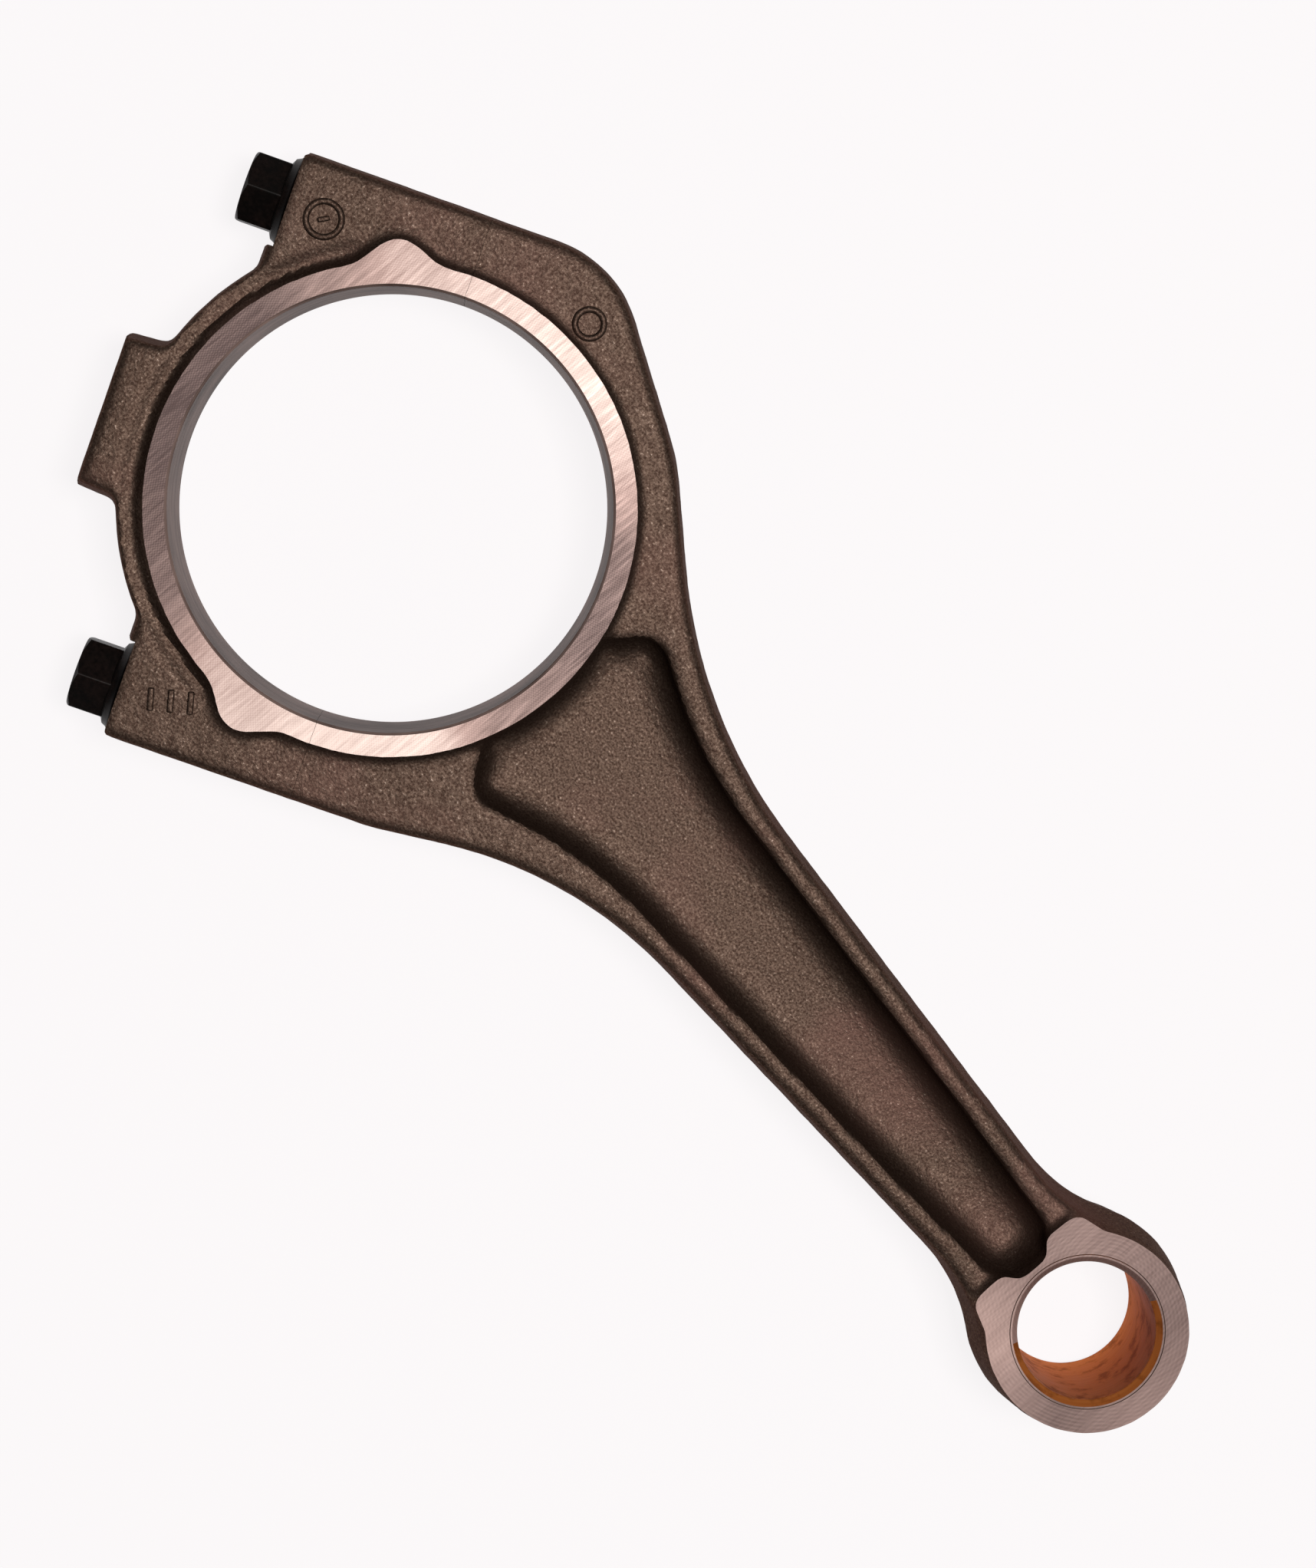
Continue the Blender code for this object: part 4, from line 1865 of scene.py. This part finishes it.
@dataclass
class FlangeBolt:
    """Flange bolt with a slim shank and a cut thread.

    Attributes:
        layout: The rod's layout.
        side: Which side of the split it is on.
        carrier: The body it rides on.
        node: The CAD node it stands for.
        offset: From the crank bore's centre to its axis.
        seat_depth: From the split to its seat.
        lift: Room between seat and flange.
        length: From the seat to its end.
        radius: Nominal radius.
        waist: Radius of the slim shank.
        pitch: Thread pitch.
        thread_length: Length of the thread.
        thread_depth: Depth of the thread.
        flange_radius: Radius of the flange.
        rim: Height of the flange's rim above the seat.
        cone: Height of the cone on the flange.
        flat: Half the hexagon's width across its flats.
        hex_height: Height of the hexagon above the cone.
        end_break: Break at the thread's end.
    """

    layout: Layout
    side: Side
    carrier: Carrier
    node: str
    offset: float = 46.8
    seat_depth: float = 35.4
    lift: float = 0.3
    length: float = 58.0
    radius: float = 4.0
    waist: float = 3.45
    pitch: float = 1.25
    thread_length: float = 24.0
    thread_depth: float = 0.62
    flange_radius: float = 8.45
    rim: float = 0.8
    cone: float = 1.2
    flat: float = 6.4
    hex_height: float = 7.05
    end_break: float = 0.9

    @property
    def head_top(self) -> float:
        """Height of the head's top above the seat."""
        return self.rim + self.cone + self.hex_height

    def turned(self, name: str, levels: Steps, sides: int) -> Piece:
        """Turned solid on the z axis, through (radius, height) levels from the bottom up.

        Args:
            name: The solid's name.
            levels: The levels.
            sides: The number of sides.

        Returns:
            The solid.
        """
        drop_selection()
        first_radius, first_height = levels[0]
        bpy.ops.mesh.primitive_circle_add(
            vertices=sides,
            radius=first_radius * MM,
            fill_type="NGON",
            location=(0.0, 0.0, first_height * MM),
        )
        piece = fresh(name)
        pick_faces(piece, lambda face: True)
        for (radius, height), (next_radius, next_height) in zip(levels, levels[1:]):
            rise = (next_height - height) * MM
            bpy.ops.mesh.extrude_region_move(TRANSFORM_OT_translate={"value": (0.0, 0.0, rise)})
            grow = next_radius / radius
            bpy.ops.transform.resize(
                value=(grow, grow, 1.0), center_override=(0.0, 0.0, next_height * MM)
            )
        close_edit()
        outward(piece)
        return piece

    def head(self) -> Piece:
        """Hexagon with a turned top edge on a coned flange.

        Returns:
            The head, upright, with its seat at the origin.
        """
        base = self.rim + self.cone - 0.6
        corner = self.flat / math.cos(math.pi / 6)
        drop_selection()
        bpy.ops.mesh.primitive_cylinder_add(
            vertices=6,
            radius=corner * MM,
            depth=(self.head_top - base) * MM,
            location=(0.0, 0.0, (self.head_top + base) / 2 * MM),
            rotation=(0.0, 0.0, math.radians(30.0)),
        )
        head = fresh("hexagon")
        finish_with(
            head,
            "BEVEL",
            width=0.25 * MM,
            segments=3,
            limit_method="ANGLE",
            angle_limit=math.radians(40),
        )
        top = self.head_top
        turning = [
            (corner + 0.5, base - 1.0),
            (corner + 0.5, top - 1.15),
            (self.flat - 0.1, top - 0.02),
            (self.flat - 0.5, top),
            (self.flat - 1.6, top),
            (self.flat - 2.2, top - 0.35),
            (0.6, top - 0.45),
        ]
        work(head, self.turned("head_turning", turning, 96), Cut.KEEP)
        radius, rim = self.flange_radius, self.rim
        flange = [
            (radius - 0.35, self.lift),
            (radius - 0.05, self.lift + 0.12),
            (radius, self.lift + 0.3),
            (radius - 0.1, rim),
            (radius - 0.35, rim + 0.2),
            (corner + 0.3, rim + self.cone - 0.15),
            (corner - 0.5, rim + self.cone + 0.25),
            (self.flat - 0.4, rim + self.cone + 0.35),
        ]
        work(head, self.turned("flange", flange, 96), Cut.JOIN)
        return head

    def thread(self) -> Piece:
        """One rib wound down the thread's length, closed at both ends.

        Returns:
            The rib, upright.
        """
        land = 0.08
        root, crest = self.radius - self.thread_depth, self.radius - 0.02
        half = self.pitch / 2 - 0.06
        turns = int(self.thread_length / self.pitch) + 2
        start = -self.length - self.pitch
        drop_selection()
        bpy.ops.mesh.primitive_circle_add(vertices=5, radius=1.0, fill_type="NOTHING")
        rib = fresh("thread")
        profile = [
            (root - 0.25, -half),
            (root, -half),
            (crest, -land),
            (crest, land),
            (root, half),
        ]
        for vertex, (reach, height) in zip(rib.data.vertices, profile):
            vertex.co = (reach * MM, 0.0, (start + height) * MM)
        rib.data.vertices[0].co.z = start * MM
        finish_with(
            rib,
            "SCREW",
            screw_offset=self.pitch * MM,
            iterations=turns,
            steps=28,
            render_steps=28,
            axis="Z",
            use_merge_vertices=False,
            use_smooth_shade=True,
        )
        take(rib)
        bpy.ops.object.mode_set(mode="EDIT")
        bpy.ops.mesh.select_mode(type="EDGE")
        bpy.ops.mesh.select_all(action="DESELECT")
        bpy.ops.mesh.select_non_manifold()
        bpy.ops.mesh.fill()
        close_edit()
        outward(rib)
        return rib

    def shank(self) -> Piece:
        """Fitted land, slim waist and threaded end.

        Returns:
            The shank, upright, with its thread cut.
        """
        root = self.radius - self.thread_depth
        end = -self.length
        levels = [
            (root - 0.9, end),
            (root, end + 0.9),
            (root, end + self.thread_length - 0.6),
            (self.waist, end + self.thread_length + 0.4),
            (self.waist, -14.0),
            (self.radius - 0.05, -13.2),
            (self.radius - 0.05, -4.2),
            (self.waist, -3.6),
            (self.waist, 0.1),
            (self.radius, self.lift + 0.6),
            (self.radius, self.lift + 0.9),
        ]
        shank = self.turned("shank", levels, 48)
        rib = self.thread()
        window = [
            (self.radius - self.end_break - 0.3, end + 0.02),
            (self.radius + 0.3, end + self.end_break + 0.4),
            (self.radius + 0.3, end + self.thread_length - 1.2),
            (root - 0.3, end + self.thread_length - 0.1),
        ]
        work(rib, self.turned("thread_window", window, 48), Cut.KEEP)
        work(shank, rib, Cut.JOIN)
        return shank

    def stand(self, piece: Piece) -> None:
        """Turn the bolt from the z axis onto its seat.

        Args:
            piece: The upright bolt.
        """
        layout = self.layout
        piece.rotation_euler = (0.0, math.pi / 2, math.pi + math.radians(layout.split_angle))
        piece.location = layout.split_spot(-self.seat_depth, self.side.value * self.offset)
        take(piece)
        bpy.ops.object.transform_apply(location=True, rotation=True, scale=True)

    def build(self, finish: Finish) -> None:
        """Make the bolt and hand it to its body.

        Args:
            finish: The bolt's finish.
        """
        bolt = self.head()
        work(bolt, self.shank(), Cut.JOIN)
        bolt.name = bolt.data.name = self.node.replace("cap_bolt", "flange_bolt")
        self.stand(bolt)
        paint(bolt, finish)
        smooth_by(bolt, 28.0)
        hand_over(bolt, self.carrier, [self.node])


@dataclass
class PinBush:
    """Pressed-in bronze sleeve of the small end.

    Attributes:
        layout: The rod's layout.
        radius: Inner radius.
        wall: Wall thickness.
        recess: How far each end stands below the face.
        mouth: Chamfer of its bore at both ends.
        away_from_glint: Direction away from the side whose mouths carry a painted reflection.
    """

    layout: Layout
    radius: float = 12.8
    wall: float = 1.4
    recess: float = 0.03
    mouth: float = 1.1
    away_from_glint: Vector = field(default_factory=lambda: Vector((0.92, -0.39, 0.0)))

    def build(self, rim: Finish) -> None:
        """Make the sleeve and hand it to the rod.

        Args:
            rim: The finish of its ends, which are milled with the rod's faces; on one side of its
                mouths it paints a reflection.
        """
        layout = self.layout
        length = layout.width - 2 * self.recess
        bush = upright_bar("bronze_bush", layout.pin_centre, self.radius + self.wall, length, 160)
        bore = bore_tool(layout, "bush_bore", layout.pin_centre, self.radius, self.mouth, 160)
        work(bush, bore, Cut.REMOVE)
        outward(bush)
        # A darker copy of the bronze, painted shade on the mouths away from the painted reflection.
        shaded = Bronze(
            "bronze_painted_shade",
            stain=(0.13, 0.036, 0.008),
            metal=(0.25, 0.072, 0.016),
            glow=(0.31, 0.100, 0.025),
        )
        paint(bush, Bronze().make(), rim, shaded.make())
        # Mouth chamfers carry painted light: the milled finish paints a reflection on one side, the
        # darker bronze paints shade on the other.
        rim_slot, painted_shade_slot = 1, 2
        for face in bush.data.polygons:
            if abs(face.normal.z) > 0.9:
                face.material_index = rim_slot
            elif abs(face.normal.z) > 0.3:
                spot = face.center - layout.pin_centre
                in_painted_glint = spot.dot(self.away_from_glint) < -0.15 * self.radius * MM
                face.material_index = rim_slot if in_painted_glint else painted_shade_slot
        smooth_by(bush, 30.0)
        hand_over(bush, Carrier.ROD, ["pin_bush"])


# ------------------------------------------------------------------ studio


@dataclass
class Studio:
    """Pale floor, soft lights and the camera.

    Attributes:
        layout: The rod's layout.
        foot: Sketch point that the camera stands over.
        aim: Sketch point that it looks at.
        camera_height: Its height above the upper faces.
        lens: Its focal length.
        shift: Its lens shift across and up.
        right: Direction to the picture's right.
        up: Direction to the picture's top.
        lamp_aim: Sketch point that the lamp looks at.
    """

    layout: Layout
    foot: Spot = (4.0, 14.6)
    aim: Spot = (47.2, 14.5)
    camera_height: float = 652.0
    lens: float = 83.35
    shift: Spot = (0.0229, -0.0799)
    right: Corner = (0.6451, 0.7641, 0.0)
    up: Corner = (-0.7641, 0.6451, 0.0)
    lamp_aim: Spot = (70.0, 0.0)

    def floor(self) -> None:
        """Lay the floor."""
        drop_selection()
        bpy.ops.mesh.primitive_plane_add(size=40.0, location=(0.0, 0.0, -0.0002))
        floor = fresh("studio_floor")
        floor.data.materials.append(PaleFloor().make())

    def lamp(
        self,
        name: str,
        direction: Vector,
        distance: float,
        size: float,
        power: float,
        colour: Colour,
    ) -> None:
        """Hang a soft square lamp that looks at the rod.

        Args:
            name: The lamp's name.
            direction: From the rod towards the lamp.
            distance: How far away it is, in metres.
            size: Its side, in metres.
            power: Its power in watts.
            colour: Its colour.
        """
        data = bpy.data.lights.new(name, "AREA")
        data.shape = "SQUARE"
        data.size = size
        data.energy = power
        data.color = colour
        lamp = bpy.data.objects.new(name, data)
        towards = direction.normalized()
        lamp.location = self.layout.spot(*self.lamp_aim) + towards * distance
        lamp.rotation_mode = "QUATERNION"
        lamp.rotation_quaternion = towards.to_track_quat("Z", "Y")
        bpy.context.collection.objects.link(lamp)

    def lights(self) -> None:
        """Set the key lamp and the room's faint light."""
        key = Vector(self.right) * 0.17 + Vector(self.up) * 0.05 + Vector((0.0, 0.0, 0.98))
        self.lamp("key_lamp", key, 1.4, 0.34, 19.0, (1.0, 0.97, 0.94))
        world = bpy.data.worlds.new("studio_room")
        world.use_nodes = True
        backdrop = world.node_tree.nodes["Background"]
        backdrop.inputs["Color"].default_value = (1.0, 0.98, 0.97, 1.0)
        backdrop.inputs["Strength"].default_value = 0.05
        bpy.context.scene.world = world
        bpy.context.scene.view_settings.view_transform = "Standard"

    def camera(self) -> None:
        """Set the camera above the big end's shoulder, looking down at the rod."""
        layout = self.layout
        data = bpy.data.cameras.new("camera")
        data.lens = self.lens
        data.shift_x, data.shift_y = self.shift
        data.clip_end = 80.0
        camera = bpy.data.objects.new("camera", data)
        place = layout.spot(*self.foot, layout.middle + self.camera_height)
        target = layout.spot(*self.aim, layout.middle)
        back = (place - target).normalized()
        right = Vector(self.up).cross(back).normalized()
        turn = Matrix((right, back.cross(right), back)).transposed()
        camera.matrix_world = Matrix.Translation(place) @ turn.to_4x4()
        bpy.context.collection.objects.link(camera)
        bpy.context.scene.camera = camera

    def build(self) -> None:
        """Build the whole studio."""
        self.floor()
        self.lights()
        self.camera()
        LOG.info("studio is set")


def main() -> None:
    """Build the studio, then each sub-assembly in order."""
    layout = Layout()
    Studio(layout).build()
    forging = Forging(layout)
    forging.build()
    ForgingMarks(layout, forging.skin, forging.finishes[Cover.SKIN]).build()
    oxide = BlackOxide().make()
    FlangeBolt(layout, Side.UPPER, Carrier.BOLT_UPPER, "cap_bolt_upper").build(oxide)
    FlangeBolt(layout, Side.LOWER, Carrier.BOLT_LOWER, "cap_bolt_lower").build(oxide)
    PinBush(layout).build(forging.finishes[Cover.EYE])


if __name__ == "__main__":
    main()
